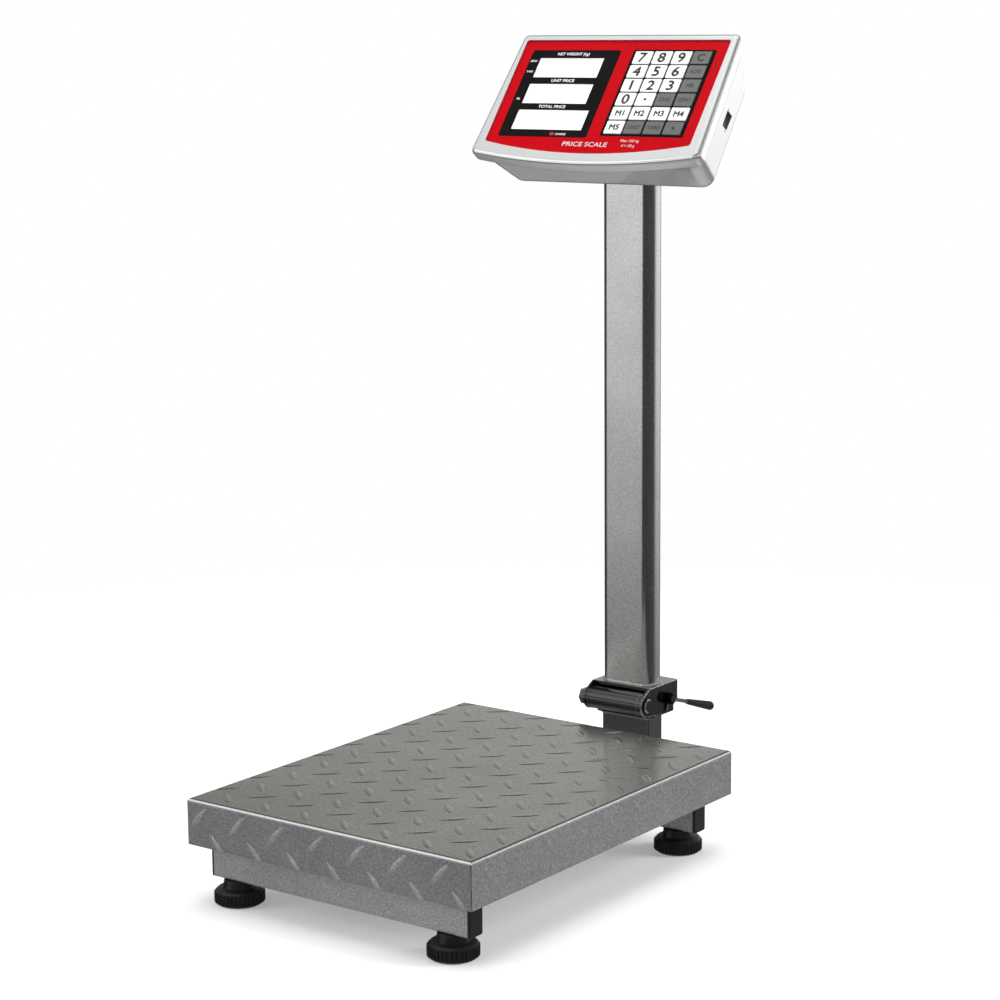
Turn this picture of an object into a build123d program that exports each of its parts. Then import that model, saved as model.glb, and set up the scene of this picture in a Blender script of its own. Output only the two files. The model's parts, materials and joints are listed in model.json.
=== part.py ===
from build123d import *
import os
from math import cos, radians, sin, sqrt

# Folding platform scale: a weighing pan on a load cell and a low frame with four screw feet,
# and behind it a column that folds forward over the pan and carries a price-computing head.
# Millimetres, +Z up, +X to the right of a person who reads the display. The origin is on the
# floor, under the middle of the whole outline.

os.makedirs("parts", exist_ok=True)

# ---------------------------------------------------------------- driving dimensions

# weighing pan
PAN_WIDTH = 350.0
PAN_LENGTH = 450.0
PAN_TOP = 105.0
PAN_SHEET = 2.0
PAN_SKIRT = 46.5
PAN_BEND = 3.5
CORNER_SLIT = 1.0
CORNER_SLIT_END = 2.5                      # below the pan's top
REAR_OVERHANG = 137.0                      # from the pan's rear edge to the end of the lever grip
PAN_Y = -REAR_OVERHANG / 2
BACK_LIMIT = PAN_Y + PAN_LENGTH / 2 + REAR_OVERHANG

# base frame
TUBE_WIDTH = 20.0
TUBE_HEIGHT = 40.0
TUBE_WALL = 2.0
TUBE_BOTTOM = 24.0
TUBE_LENGTH = 312.0
TUBE_CORNER = 2.5
FRONT_TUBE_Y = PAN_Y - 197
REAR_TUBE_Y = PAN_Y + 187
PLUG_FLANGE = 3.0
PLUG_SPIGOT = 12.0
PLUG_FIT = 0.2
PLUG_CHAMFER = 0.8
RAIL_HEIGHT = 30.0
RAIL_X = 70.0

# feet
FOOT_X = 132.0
FOOT_RADIUS = 25.0
FOOT_HEIGHT = 15.0
FOOT_HUB_RADIUS = 15.0
FOOT_BEVEL = 2.0
FOOT_RIBS = 36
RIB_RADIUS = 1.2
RIB_LENGTH = 10.0
HUB_RISE = 1.2                             # of the disc's upper side towards the hub
HUB_DRAFT = 1.0
STUD_RADIUS = 5.0
STUD_TOP = 50.0
STUD_TIP = 1.0
STUD_CLEARANCE = 0.5
INSERT_RADIUS = 8.0
INSERT_HEIGHT = 10.0

# between pieces
RUNNING = 0.05                             # radial clearance of turning and screwed pieces
BODY_GAP = 0.3                             # between pieces that move past each other
BOLT_CLEARANCE = 0.4                       # radial, around bolts and screws that pass through

# load cell and upper frame
CELL_LENGTH = 130.0
CELL_WIDTH = 30.0
CELL_BOTTOM = 40.0
CELL_TOP = 68.0
CELL_BOLT_YS = (28.0, 53.0)                # from the cell's middle
CELL_BOLT_RADIUS = 3.0
CELL_CHAMFER = 1.0
CELL_PAD = (36.0, 46.0, 2.0)               # width, length and corner of the pads above and below
WAIST_RADIUS = 9.5
WAIST_SPACING = 26.0
WAIST_SLOT = 8.6
THREAD_DEPTH = 14.0
BOLT_HEAD_RADIUS = 5.0
BOLT_HEAD_HEIGHT = 4.0
BOLT_GRIP = 10.0
DRIVER_HOLE_RADIUS = 8.0
PLATE_BOTTOM = 30.0
PLATE_TOP = 36.0
PLATE_LENGTH = 70.0
UPPER_BOTTOM = 72.0
UPPER_TOP = 92.0
SPINE_WIDTH = 60.0
ARM_LENGTH = 300.0
ARM_Y = 170.0
PAD_X = 138.0
PAD_RADIUS = 11.0
PAD_ROUND = 2.0

# post, hinge and column
COLUMN_WIDTH = 60.0
COLUMN_DEPTH = 30.0
COLUMN_CORNER = 8.0
POST_CORNER = 3.0
COLUMN_Y = PAN_Y + 300
POST_TOP = PAN_TOP - 2
HINGE_Y = PAN_Y + 272
HINGE_Z = PAN_TOP + 16
BARREL_RADIUS = 12.0
PIN_RADIUS = 5.0
LUG_INNER = 31.0
LUG_OUTER = 34.7
CHEEK_INNER = 35.0
CHEEK_OUTER = 38.0
SEAT_TOP = HINGE_Z + 14.2
BRACKET_BOTTOM = HINGE_Z + 14.5
BRACKET_TOP = BRACKET_BOTTOM + 3
BRACKET_FRONT = HINGE_Y + 6
BRACKET_BACK = HINGE_Y + 61
SEAT_FRONT = COLUMN_Y - COLUMN_DEPTH / 2 - 2
SEAT_BACK = BRACKET_BACK - 3
SEAT_FLOOR = HINGE_Z - BARREL_RADIUS
SEAT_STEP = HINGE_Y + 16
BARREL_CHAMFER = 0.6
HINGE_EDGE = 0.8                           # rounding of the bent and welded hinge plates
PIN_WASHER = 1.5
PIN_WASHER_RADIUS = 10.5
PIN_HEAD = 6.0
PIN_HEAD_RADIUS = 9.2
PIN_CAP = 2.2
PIN_CAP_RADIUS = 7.5
PIN_CAP_CHAMFER = 1.2

# lock bolt and lever
LOCK_REACH = 38.0                          # from the hinge axis back to the bolt
LOCK_Y = HINGE_Y + LOCK_REACH
LOCK_Z = HINGE_Z + 1
LOCK_RADIUS = 4.0
LOCK_SLOT = 8.8
LOCK_HEAD = 4.0
LOCK_HEAD_RADIUS = 9.0
LOCK_HEAD_ROUND = 2.5
LEVER_HUB_RADIUS = 6.5
LEVER_HUB_END = 47.0
LEVER_HUB_ROUND = 1.5
LEVER_ROD_X = 43.0
LEVER_ROD_RADIUS = 2.2
GRIP_RADIUS = 5.0
GRIP_LENGTH = 31.0
GRIP_WALL = 0.9                            # at the grip's thin end
ROD_SHORT = 4.0                            # from the rod's end to the middle of the grip's round end
GRIP_END = Vector(64, BACK_LIMIT - GRIP_RADIUS, LOCK_Z - 15)

# head
HEAD_LEAN = 37.3                           # the face leans back from upright by this many degrees
HEAD_Y = PAN_Y + 249.2
HEAD_Z = PAN_TOP + 668.5
RIM_TOP_HALF = 135.0
RIM_BOTTOM_HALF = 142.0
RIM_UP = 76.5
RIM_BOW = 12.0
RIM_PROUD = 1.5
RIM_BACK = -14.0
RIM_CORNER = 7.0
RIM_FRONT_ROUND = 4.5
RIM_BACK_ROUND = 3.0
CASE_WALL = 2.5
CASE_BACK = -70.0
CASE_TOP = 74.0
CASE_BOTTOM = -74.8
CASE_TOP_KNEE = -26.0
CASE_BACK_TOP = 53.6
CASE_BACK_BOTTOM = -69.0
CASE_HALF_FRONT = 132.5
CASE_HALF_BACK = 120.1
CASE_FLARE = 3.5
CASE_FLARE_HALF = 95.0
CASE_ROUND = 13.0
CASE_REACH = 139.0                         # outside the case's widest point
SIDE_CUT = 30.0                            # depth of the side openings, from CASE_REACH inwards
OVERLAY = 0.4
FACE_BACK = -2.9
OVERLAY_HALF = 127.5
OVERLAY_TOP = 68.0
OVERLAY_BOTTOM = -62.0
OVERLAY_BOW = 13.0
OVERLAY_CORNER = 3.0
OVERLAY_FIT = 0.2
CAVITY_DRAFT = 2.5                         # of the front case's inside, wider at the bottom
CAVITY_WALL = 3.0
PLATE_THICK = 3.0

# display windows: centre across, centre up, width, height
WINDOWS = ((-61.0, 33.2, 82.0, 25.5), (-61.0, 0.0, 82.0, 25.5), (-57.0, -33.0, 90.0, 25.5))
GLASS_TOP = -0.5
GLASS_BORDER = 3.0
GLASS_THICK = 2.6
GLASS_FIT = 0.1

# keys
KEY_WIDTH = 21.6
KEY_HEIGHT = 15.6
KEY_PITCH_X = 23.8
KEY_PITCH_Y = 17.4
KEYPAD_X = 63.8
KEYPAD_Y = 2.2
KEY_GAP = 0.3
KEY_TOP = 1.3
KEY_CORNER = 1.2
KEY_ROUND = 0.5
KEY_FLANGE = (0.7, 0.6, 1.0)               # sticks out sideways, sticks out up and down, thickness
KEY_STEM_RADIUS = 2.5
KEY_TRAVEL = 1.0
KEY_ROWS = (
    ("7", "8", "9", "clear"),
    ("4", "5", "6", "add"),
    ("1", "2", "3", "recall"),
    ("0", "point", "change", "zero"),
    ("m1", "m2", "m3", "m4"),
    ("m5", "unit", "tare", "light"),
)

# electronics
BOARD_TOP = -7.6
BOARD_THICK = 1.6
BOARD_SIZE = (236.0, 112.0)
BOARD_BOSS = (114.6, 30.0)
BOARD_BOSS_RADIUS = 3.2
BOARD_PILOT_RADIUS = 1.0
BATTERY_SIZE = (100.0, 46.0, 46.0)
BATTERY_CORNER = 2.0
TERMINAL_X = 40.0
TERMINAL_SIZE = (5.0, 8.0, 5.0)
WELL_X = 116.0
WELL_VS = (-60.0, 62.0)
WELL_FLOOR = -20.0
WELL_OUTER = 6.5
WELL_INNER = 4.2
WELL_BOSS_RADIUS = 4.0
WELL_STEP = 2.0                            # wells and bosses meet this far behind the rim's back
CASE_SCREW_RADIUS = 1.6
CASE_SCREW_HEAD = (3.2, 2.4)               # radius, height
MOUNT_SCREW_RADIUS = 2.4
MOUNT_SCREW_HEAD = (4.6, 2.8)              # radius, height
MOUNT_SCREW_DEPTH = 9.0
MOUNT_BOSS = (5.4, 10.0)                   # radius, height
MOUNT_SCREW_X = 37.0
MOUNT_SCREW_VS = (-43.0, 19.0)
MOUNT_PLATE_SIZE = (92.0, 78.0, 6.0)       # width, length, corner
MOUNT_PLATE_V = -12.0
SWITCH_V = 0.0
SWITCH_W = -43.0
SWITCH_OPENING = (21.0, 14.0, 1.0)         # height, width, corner
SWITCH_FIT = 0.15
SWITCH_FACE_X = 126.0
SWITCH_DEPTH = 14.0
ROCKER_TILT = 7.0
ROCKER_SIZE = (17.0, 10.0)
ROCKER_ROOM = (1.2, 0.8)                   # all round the rocker, together
ROCKER_AXIS_X = SWITCH_FACE_X - 3
ROCKER_WELL = 5.0                          # below the rocker's axis
ROCKER_BELOW = 2.2
ROCKER_ABOVE = 3.0
ROCKER_PIVOT = 1.4
PIVOT_REACH = 1.1                          # of each pivot past the rocker's side
PIVOT_BORE = 1.3
DISH_RADIUS = 30.0
DISH_DEPTH = 1.2
SOCKET_FACE_X = -126.5
SOCKET_RADIUS = 3.2
SOCKET_WALL = 1.6
SOCKET_FIT = 0.2
SOCKET_DEPTH = 11.0
SOCKET_END = 3.0
SOCKET_PIN_RADIUS = 1.0

# ---------------------------------------------------------------- reference planes

LEAN = radians(HEAD_LEAN)
HEAD_NORMAL = Vector(0, -cos(LEAN), sin(LEAN))
HEAD_UP = Vector(0, sin(LEAN), cos(LEAN))
HEAD = Plane(origin=(0, HEAD_Y, HEAD_Z), x_dir=(1, 0, 0), z_dir=HEAD_NORMAL)
HEAD_AXIS = Axis(HEAD.origin, HEAD_NORMAL)


def upright(x):
    """The upright plane at x, whose own axes are the model's Y and Z."""
    return Plane(origin=(x, 0, 0), x_dir=(0, 1, 0), z_dir=(1, 0, 0))


def head_side(x):
    """The upright plane at x, whose own axes are the head's up and outward directions."""
    return Plane(origin=(x, HEAD_Y, HEAD_Z), x_dir=HEAD_UP, z_dir=(1, 0, 0))


def box_tube(plane, width, height, length, corner):
    """A rectangular tube, its section on the plane, along the plane's normal."""
    with BuildPart() as tube:
        with BuildSketch(plane):
            RectangleRounded(width, height, corner)
            RectangleRounded(
                width - 2 * TUBE_WALL, height - 2 * TUBE_WALL, corner - TUBE_WALL, mode=Mode.SUBTRACT)
        extrude(amount=length)
    return tube.part


# ---------------------------------------------------------------- base frame

def cross_tube(y):
    """A cross tube with a hole under each end for a foot stud."""
    start = Plane(
        origin=(-TUBE_LENGTH / 2, y, TUBE_BOTTOM + TUBE_HEIGHT / 2), x_dir=(0, 1, 0), z_dir=(1, 0, 0))
    with BuildPart() as tube:
        add(box_tube(start, TUBE_WIDTH, TUBE_HEIGHT, TUBE_LENGTH, TUBE_CORNER))
        with BuildSketch(Plane(origin=(0, y, TUBE_BOTTOM))):
            with Locations((-FOOT_X, 0), (FOOT_X, 0)):
                Circle(STUD_RADIUS + STUD_CLEARANCE)
        extrude(amount=TUBE_WALL, mode=Mode.SUBTRACT)
    return tube


front_frame_tube = cross_tube(FRONT_TUBE_Y)
front_frame_tube.part.label = "front_frame_tube"
export_step(front_frame_tube.part, "parts/front_frame_tube.step")

rear_frame_tube = cross_tube(REAR_TUBE_Y)
rear_frame_tube.part.label = "rear_frame_tube"
export_step(rear_frame_tube.part, "parts/rear_frame_tube.step")

rail_start = FRONT_TUBE_Y + TUBE_WIDTH / 2
rail_length = REAR_TUBE_Y - FRONT_TUBE_Y - TUBE_WIDTH
rail_mid = TUBE_BOTTOM + RAIL_HEIGHT / 2
with BuildPart() as frame_rails:
    for rail_x in (-RAIL_X, RAIL_X):
        rail_plane = Plane(origin=(rail_x, rail_start, rail_mid), x_dir=(-1, 0, 0), z_dir=(0, 1, 0))
        add(box_tube(rail_plane, TUBE_WIDTH, RAIL_HEIGHT, rail_length, TUBE_CORNER))
frame_rails.part.label = "frame_rails"
export_step(frame_rails.part, "parts/frame_rails.step")

plug_inset = 2 * (TUBE_WALL + PLUG_FIT)
with BuildPart() as tube_end_plugs:
    for plug_y in (FRONT_TUBE_Y, REAR_TUBE_Y):
        for side in (-1, 1):
            plug_plane = Plane(
                origin=(side * TUBE_LENGTH / 2, plug_y, TUBE_BOTTOM + TUBE_HEIGHT / 2),
                x_dir=(0, side, 0), z_dir=(side, 0, 0))
            with BuildSketch(plug_plane):
                RectangleRounded(TUBE_WIDTH, TUBE_HEIGHT, TUBE_CORNER)
            extrude(amount=PLUG_FLANGE)
            with BuildSketch(plug_plane):
                RectangleRounded(TUBE_WIDTH - plug_inset, TUBE_HEIGHT - plug_inset, TUBE_CORNER / 2)
            extrude(amount=-PLUG_SPIGOT)
    outer_faces = tube_end_plugs.faces().filter_by(Axis.X).group_by(Axis.X)
    chamfer(outer_faces[0].edges() + outer_faces[-1].edges(), PLUG_CHAMFER)
tube_end_plugs.part.label = "tube_end_plugs"
export_step(tube_end_plugs.part, "parts/tube_end_plugs.step")

with BuildPart() as foot_inserts:
    for insert_y in (FRONT_TUBE_Y, REAR_TUBE_Y):
        with BuildSketch(Plane(origin=(0, insert_y, TUBE_BOTTOM + TUBE_WALL))):
            with Locations((-FOOT_X, 0), (FOOT_X, 0)):
                RegularPolygon(radius=INSERT_RADIUS, side_count=6)
                Circle(STUD_RADIUS + RUNNING, mode=Mode.SUBTRACT)
        extrude(amount=INSERT_HEIGHT)
foot_inserts.part.label = "foot_inserts"
export_step(foot_inserts.part, "parts/foot_inserts.step")

CELL_FIXED_Y = PAN_Y - (CELL_BOLT_YS[0] + CELL_BOLT_YS[1]) / 2
CELL_LOADED_Y = 2 * PAN_Y - CELL_FIXED_Y
with BuildPart() as load_cell_plate:
    with BuildSketch(Plane(origin=(0, CELL_FIXED_Y, PLATE_BOTTOM))):
        Rectangle(2 * RAIL_X - TUBE_WIDTH, PLATE_LENGTH)
    extrude(amount=PLATE_TOP - PLATE_BOTTOM)
    with BuildSketch(Plane(origin=(0, CELL_FIXED_Y, PLATE_TOP))):
        RectangleRounded(*CELL_PAD)
    extrude(amount=CELL_BOTTOM - PLATE_TOP)
    with BuildSketch(Plane(origin=(0, PAN_Y, PLATE_BOTTOM))):
        with Locations(*[(0, -y) for y in CELL_BOLT_YS]):
            Circle(CELL_BOLT_RADIUS + BOLT_CLEARANCE)
    extrude(amount=CELL_BOTTOM - PLATE_BOTTOM, mode=Mode.SUBTRACT)
load_cell_plate.part.label = "load_cell_plate"
export_step(load_cell_plate.part, "parts/load_cell_plate.step")

# ---------------------------------------------------------------- feet


def screw_foot(x, y):
    """A moulded foot: ribbed disc, hub and a stud that screws into the cross tube."""
    disc_radius = FOOT_RADIUS - RIB_RADIUS
    hub_top = TUBE_BOTTOM - BODY_GAP
    with BuildPart() as foot:
        with BuildSketch(Plane(origin=(x, y, 0), x_dir=(1, 0, 0), z_dir=(0, -1, 0))):
            with BuildLine():
                Polyline(
                    (0, 0), (disc_radius - FOOT_BEVEL, 0), (disc_radius, FOOT_BEVEL),
                    (disc_radius, FOOT_HEIGHT - FOOT_BEVEL), (disc_radius - FOOT_BEVEL, FOOT_HEIGHT),
                    (FOOT_HUB_RADIUS + HUB_DRAFT, FOOT_HEIGHT + HUB_RISE), (FOOT_HUB_RADIUS, hub_top),
                    (STUD_RADIUS, hub_top), (STUD_RADIUS, STUD_TOP - STUD_TIP),
                    (STUD_RADIUS - STUD_TIP, STUD_TOP), (0, STUD_TOP), close=True)
            make_face()
        revolve(axis=Axis((x, y, 0), (0, 0, 1)))
        with BuildSketch(Plane(origin=(x, y, FOOT_BEVEL))):
            with PolarLocations(disc_radius, FOOT_RIBS):
                Circle(RIB_RADIUS)
        extrude(amount=RIB_LENGTH)
    return foot


for foot_name, foot_x, foot_y in (
        ("foot_front_left", -FOOT_X, FRONT_TUBE_Y), ("foot_front_right", FOOT_X, FRONT_TUBE_Y),
        ("foot_rear_left", -FOOT_X, REAR_TUBE_Y), ("foot_rear_right", FOOT_X, REAR_TUBE_Y)):
    foot = screw_foot(foot_x, foot_y)
    foot.part.label = foot_name
    export_step(foot.part, f"parts/{foot_name}.step")

# ---------------------------------------------------------------- load cell and upper frame

with BuildPart() as load_cell:
    with BuildSketch(Plane(origin=(0, PAN_Y, CELL_BOTTOM))):
        Rectangle(CELL_WIDTH, CELL_LENGTH)
    extrude(amount=CELL_TOP - CELL_BOTTOM)
    chamfer(load_cell.edges().filter_by(Axis.Z), CELL_CHAMFER)
    cell_middle = (CELL_BOTTOM + CELL_TOP) / 2
    waist_plane = Plane(origin=(-CELL_WIDTH, PAN_Y, cell_middle), x_dir=(0, 1, 0), z_dir=(1, 0, 0))
    with BuildSketch(waist_plane):
        with Locations((-WAIST_SPACING / 2, 0), (WAIST_SPACING / 2, 0)):
            Circle(WAIST_RADIUS)
        Rectangle(WAIST_SPACING, WAIST_SLOT)
    extrude(amount=2 * CELL_WIDTH, mode=Mode.SUBTRACT)
    with BuildSketch(Plane(origin=(0, PAN_Y, CELL_BOTTOM))):
        with Locations(*[(0, -y) for y in CELL_BOLT_YS]):
            Circle(CELL_BOLT_RADIUS)
    extrude(amount=THREAD_DEPTH, mode=Mode.SUBTRACT)
    with BuildSketch(Plane(origin=(0, PAN_Y, CELL_TOP))):
        with Locations(*[(0, y) for y in CELL_BOLT_YS]):
            Circle(CELL_BOLT_RADIUS)
    extrude(amount=-THREAD_DEPTH, mode=Mode.SUBTRACT)
load_cell.part.label = "load_cell"
export_step(load_cell.part, "parts/load_cell.step")

with BuildPart() as load_cell_bolts:
    for bolt_y in CELL_BOLT_YS:
        with BuildSketch(Plane(origin=(0, PAN_Y - bolt_y, PLATE_BOTTOM))):
            RegularPolygon(radius=BOLT_HEAD_RADIUS, side_count=6)
        extrude(amount=-BOLT_HEAD_HEIGHT)
        with BuildSketch(Plane(origin=(0, PAN_Y - bolt_y, PLATE_BOTTOM))):
            Circle(CELL_BOLT_RADIUS)
        extrude(amount=CELL_BOTTOM + BOLT_GRIP - PLATE_BOTTOM)
        with BuildSketch(Plane(origin=(0, PAN_Y + bolt_y, UPPER_BOTTOM + TUBE_WALL))):
            RegularPolygon(radius=BOLT_HEAD_RADIUS, side_count=6)
        extrude(amount=BOLT_HEAD_HEIGHT)
        with BuildSketch(Plane(origin=(0, PAN_Y + bolt_y, UPPER_BOTTOM + TUBE_WALL))):
            Circle(CELL_BOLT_RADIUS)
        extrude(amount=CELL_TOP - BOLT_GRIP - UPPER_BOTTOM - TUBE_WALL)
load_cell_bolts.part.label = "load_cell_bolts"
export_step(load_cell_bolts.part, "parts/load_cell_bolts.step")

SPINE_LENGTH = 2 * ARM_Y - TUBE_WIDTH
UPPER_MIDDLE = (UPPER_BOTTOM + UPPER_TOP) / 2
UPPER_HEIGHT = UPPER_TOP - UPPER_BOTTOM
with BuildPart() as upper_frame:
    spine_plane = Plane(origin=(0, PAN_Y - SPINE_LENGTH / 2, UPPER_MIDDLE), x_dir=(-1, 0, 0), z_dir=(0, 1, 0))
    add(box_tube(spine_plane, SPINE_WIDTH, UPPER_HEIGHT, SPINE_LENGTH, TUBE_CORNER))
    for arm_side in (-1, 1):
        arm_plane = Plane(
            origin=(-ARM_LENGTH / 2, PAN_Y + arm_side * ARM_Y, UPPER_MIDDLE),
            x_dir=(0, 1, 0), z_dir=(1, 0, 0))
        add(box_tube(arm_plane, TUBE_WIDTH, UPPER_HEIGHT, ARM_LENGTH, TUBE_CORNER))
    with BuildSketch(Plane(origin=(0, CELL_LOADED_Y, CELL_TOP))):
        RectangleRounded(*CELL_PAD)
    extrude(amount=UPPER_BOTTOM - CELL_TOP)
    with BuildSketch(Plane(origin=(0, PAN_Y, CELL_TOP))):
        with Locations(*[(0, y) for y in CELL_BOLT_YS]):
            Circle(CELL_BOLT_RADIUS + BOLT_CLEARANCE)
    extrude(amount=UPPER_BOTTOM + TUBE_WALL - CELL_TOP, mode=Mode.SUBTRACT)
    with BuildSketch(Plane(origin=(0, PAN_Y, UPPER_TOP))):
        with Locations(*[(0, y) for y in CELL_BOLT_YS]):
            Circle(DRIVER_HOLE_RADIUS)
    extrude(amount=-TUBE_WALL, mode=Mode.SUBTRACT)
upper_frame.part.label = "upper_frame"
export_step(upper_frame.part, "parts/upper_frame.step")

with BuildPart() as pan_pads:
    for pad_x in (-PAD_X, PAD_X):
        for pad_y in (PAN_Y - ARM_Y, PAN_Y + ARM_Y):
            with BuildSketch(Plane(origin=(pad_x, pad_y, UPPER_TOP))):
                Circle(PAD_RADIUS)
            extrude(amount=PAN_TOP - PAN_SHEET - UPPER_TOP - BODY_GAP)
    fillet(pan_pads.faces().group_by(Axis.Z)[-1].edges(), PAD_ROUND)
pan_pads.part.label = "pan_pads"
export_step(pan_pads.part, "parts/pan_pads.step")

# ---------------------------------------------------------------- weighing pan

with BuildPart() as weighing_pan:
    with BuildSketch(Plane(origin=(0, PAN_Y, PAN_TOP))):
        Rectangle(PAN_WIDTH, PAN_LENGTH)
    extrude(amount=-PAN_SKIRT)
    fillet(weighing_pan.faces().sort_by(Axis.Z)[-1].edges(), PAN_BEND)
    with BuildSketch(Plane(origin=(0, PAN_Y, PAN_TOP - PAN_SKIRT))):
        Rectangle(PAN_WIDTH - 2 * PAN_SHEET, PAN_LENGTH - 2 * PAN_SHEET)
    extrude(amount=PAN_SKIRT - PAN_SHEET, mode=Mode.SUBTRACT)
    with BuildSketch(Plane(origin=(0, PAN_Y, PAN_TOP - PAN_SKIRT))):
        for turn_x in (-1, 1):
            for turn_y in (-1, 1):
                with Locations((turn_x * PAN_WIDTH / 2, turn_y * PAN_LENGTH / 2)):
                    Rectangle(4 * PAN_SHEET, CORNER_SLIT, rotation=45 * turn_x * turn_y)
    extrude(amount=PAN_SKIRT - CORNER_SLIT_END, mode=Mode.SUBTRACT)
weighing_pan.part.label = "weighing_pan"
export_step(weighing_pan.part, "parts/weighing_pan.step")

# ---------------------------------------------------------------- arm and post

arm_start = REAR_TUBE_Y + TUBE_WIDTH / 2
arm_end = COLUMN_Y - COLUMN_DEPTH / 2
with BuildPart() as column_arm:
    column_arm_plane = Plane(origin=(0, arm_start, rail_mid), x_dir=(-1, 0, 0), z_dir=(0, 1, 0))
    add(box_tube(column_arm_plane, COLUMN_WIDTH, RAIL_HEIGHT, arm_end - arm_start, POST_CORNER))
column_arm.part.label = "column_arm"
export_step(column_arm.part, "parts/column_arm.step")

with BuildPart() as post:
    post_plane = Plane(origin=(0, COLUMN_Y, TUBE_BOTTOM))
    add(box_tube(post_plane, COLUMN_WIDTH, COLUMN_DEPTH, POST_TOP - TUBE_BOTTOM, POST_CORNER))
    with BuildSketch(post_plane):
        RectangleRounded(COLUMN_WIDTH, COLUMN_DEPTH, POST_CORNER)
    extrude(amount=TUBE_WALL)
post.part.label = "post"
export_step(post.part, "parts/post.step")

# ---------------------------------------------------------------- hinge, fixed half

with BuildPart() as hinge_seat:
    with BuildSketch(Plane(origin=(0, (SEAT_FRONT + SEAT_BACK) / 2, POST_TOP))):
        Rectangle(2 * LUG_OUTER, SEAT_BACK - SEAT_FRONT)
    extrude(amount=SEAT_FLOOR - POST_TOP)
    for lug_x in (-LUG_OUTER, LUG_INNER):
        with BuildSketch(upright(lug_x)):
            with Locations((HINGE_Y, HINGE_Z)):
                Circle(BARREL_RADIUS)
            with BuildLine():
                Polyline(
                    (HINGE_Y, SEAT_FLOOR), (SEAT_BACK, SEAT_FLOOR), (SEAT_BACK, SEAT_TOP),
                    (SEAT_STEP, SEAT_TOP), (HINGE_Y, HINGE_Z + BARREL_RADIUS), close=True)
            make_face()
            with Locations((HINGE_Y, HINGE_Z)):
                Circle(PIN_RADIUS, mode=Mode.SUBTRACT)
            with Locations((LOCK_Y, LOCK_Z)):
                Circle(LOCK_RADIUS, mode=Mode.SUBTRACT)
        extrude(amount=LUG_OUTER - LUG_INNER)
    seat_sides = hinge_seat.faces().filter_by(Axis.X).group_by(Axis.X)
    chamfer(seat_sides[0].edges() + seat_sides[-1].edges(), HINGE_EDGE / 2)
hinge_seat.part.label = "hinge_seat"
export_step(hinge_seat.part, "parts/hinge_seat.step")

with BuildPart() as hinge_barrel:
    with BuildSketch(upright(-LUG_INNER)):
        with Locations((HINGE_Y, HINGE_Z)):
            Circle(BARREL_RADIUS)
            Circle(PIN_RADIUS, mode=Mode.SUBTRACT)
    extrude(amount=2 * LUG_INNER)
    chamfer(hinge_barrel.edges().filter_by(GeomType.CIRCLE).group_by(SortBy.RADIUS)[-1], BARREL_CHAMFER)
hinge_barrel.part.label = "hinge_barrel"
export_step(hinge_barrel.part, "parts/hinge_barrel.step")

outer_side = CHEEK_OUTER + BODY_GAP
with BuildPart() as hinge_pin:
    with BuildSketch(upright(-outer_side)):
        with Locations((HINGE_Y, HINGE_Z)):
            Circle(PIN_RADIUS)
    extrude(amount=2 * outer_side)
    with BuildSketch(upright(-outer_side)):
        with Locations((HINGE_Y, HINGE_Z)):
            Circle(PIN_WASHER_RADIUS)
    extrude(amount=-PIN_WASHER)
    with BuildSketch(upright(-outer_side - PIN_WASHER)):
        with Locations((HINGE_Y, HINGE_Z)):
            RegularPolygon(radius=PIN_HEAD_RADIUS, side_count=6)
    extrude(amount=-PIN_HEAD)
    with BuildSketch(upright(outer_side)):
        with Locations((HINGE_Y, HINGE_Z)):
            Circle(PIN_CAP_RADIUS)
    extrude(amount=PIN_CAP)
    chamfer(hinge_pin.faces().sort_by(Axis.X)[-1].edges(), PIN_CAP_CHAMFER)
hinge_pin.part.label = "hinge_pin"
export_step(hinge_pin.part, "parts/hinge_pin.step")

with BuildPart() as lock_bolt:
    with BuildSketch(upright(-outer_side)):
        with Locations((LOCK_Y, LOCK_Z)):
            Circle(LOCK_RADIUS)
    extrude(amount=outer_side + LEVER_HUB_END)
    with BuildSketch(upright(-outer_side)):
        with Locations((LOCK_Y, LOCK_Z)):
            Circle(LOCK_HEAD_RADIUS)
    extrude(amount=-LOCK_HEAD)
    fillet(lock_bolt.faces().sort_by(Axis.X)[0].edges(), LOCK_HEAD_ROUND)
lock_bolt.part.label = "lock_bolt"
export_step(lock_bolt.part, "parts/lock_bolt.step")

# ---------------------------------------------------------------- lock lever

rod_start = Vector(LEVER_ROD_X, LOCK_Y, LOCK_Z)
rod_way = (GRIP_END - rod_start).normalized()
rod_length = (GRIP_END - rod_start).length
grip_start = GRIP_END - rod_way * GRIP_LENGTH
with BuildPart() as lock_lever:
    with BuildSketch(upright(outer_side)):
        with Locations((LOCK_Y, LOCK_Z)):
            Circle(LEVER_HUB_RADIUS)
    extrude(amount=LEVER_HUB_END - outer_side)
    fillet(lock_lever.faces().sort_by(Axis.X)[-1].edges(), LEVER_HUB_ROUND)
    with BuildSketch(Plane(origin=rod_start, z_dir=rod_way)):
        Circle(LEVER_ROD_RADIUS)
    extrude(amount=rod_length - ROD_SHORT)
    with BuildSketch(upright(CHEEK_OUTER)):
        with Locations((LOCK_Y, LOCK_Z)):
            Circle(LOCK_RADIUS + RUNNING)
    extrude(amount=LEVER_HUB_END - CHEEK_OUTER, mode=Mode.SUBTRACT)
lock_lever.part.label = "lock_lever"
export_step(lock_lever.part, "parts/lock_lever.step")

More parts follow.
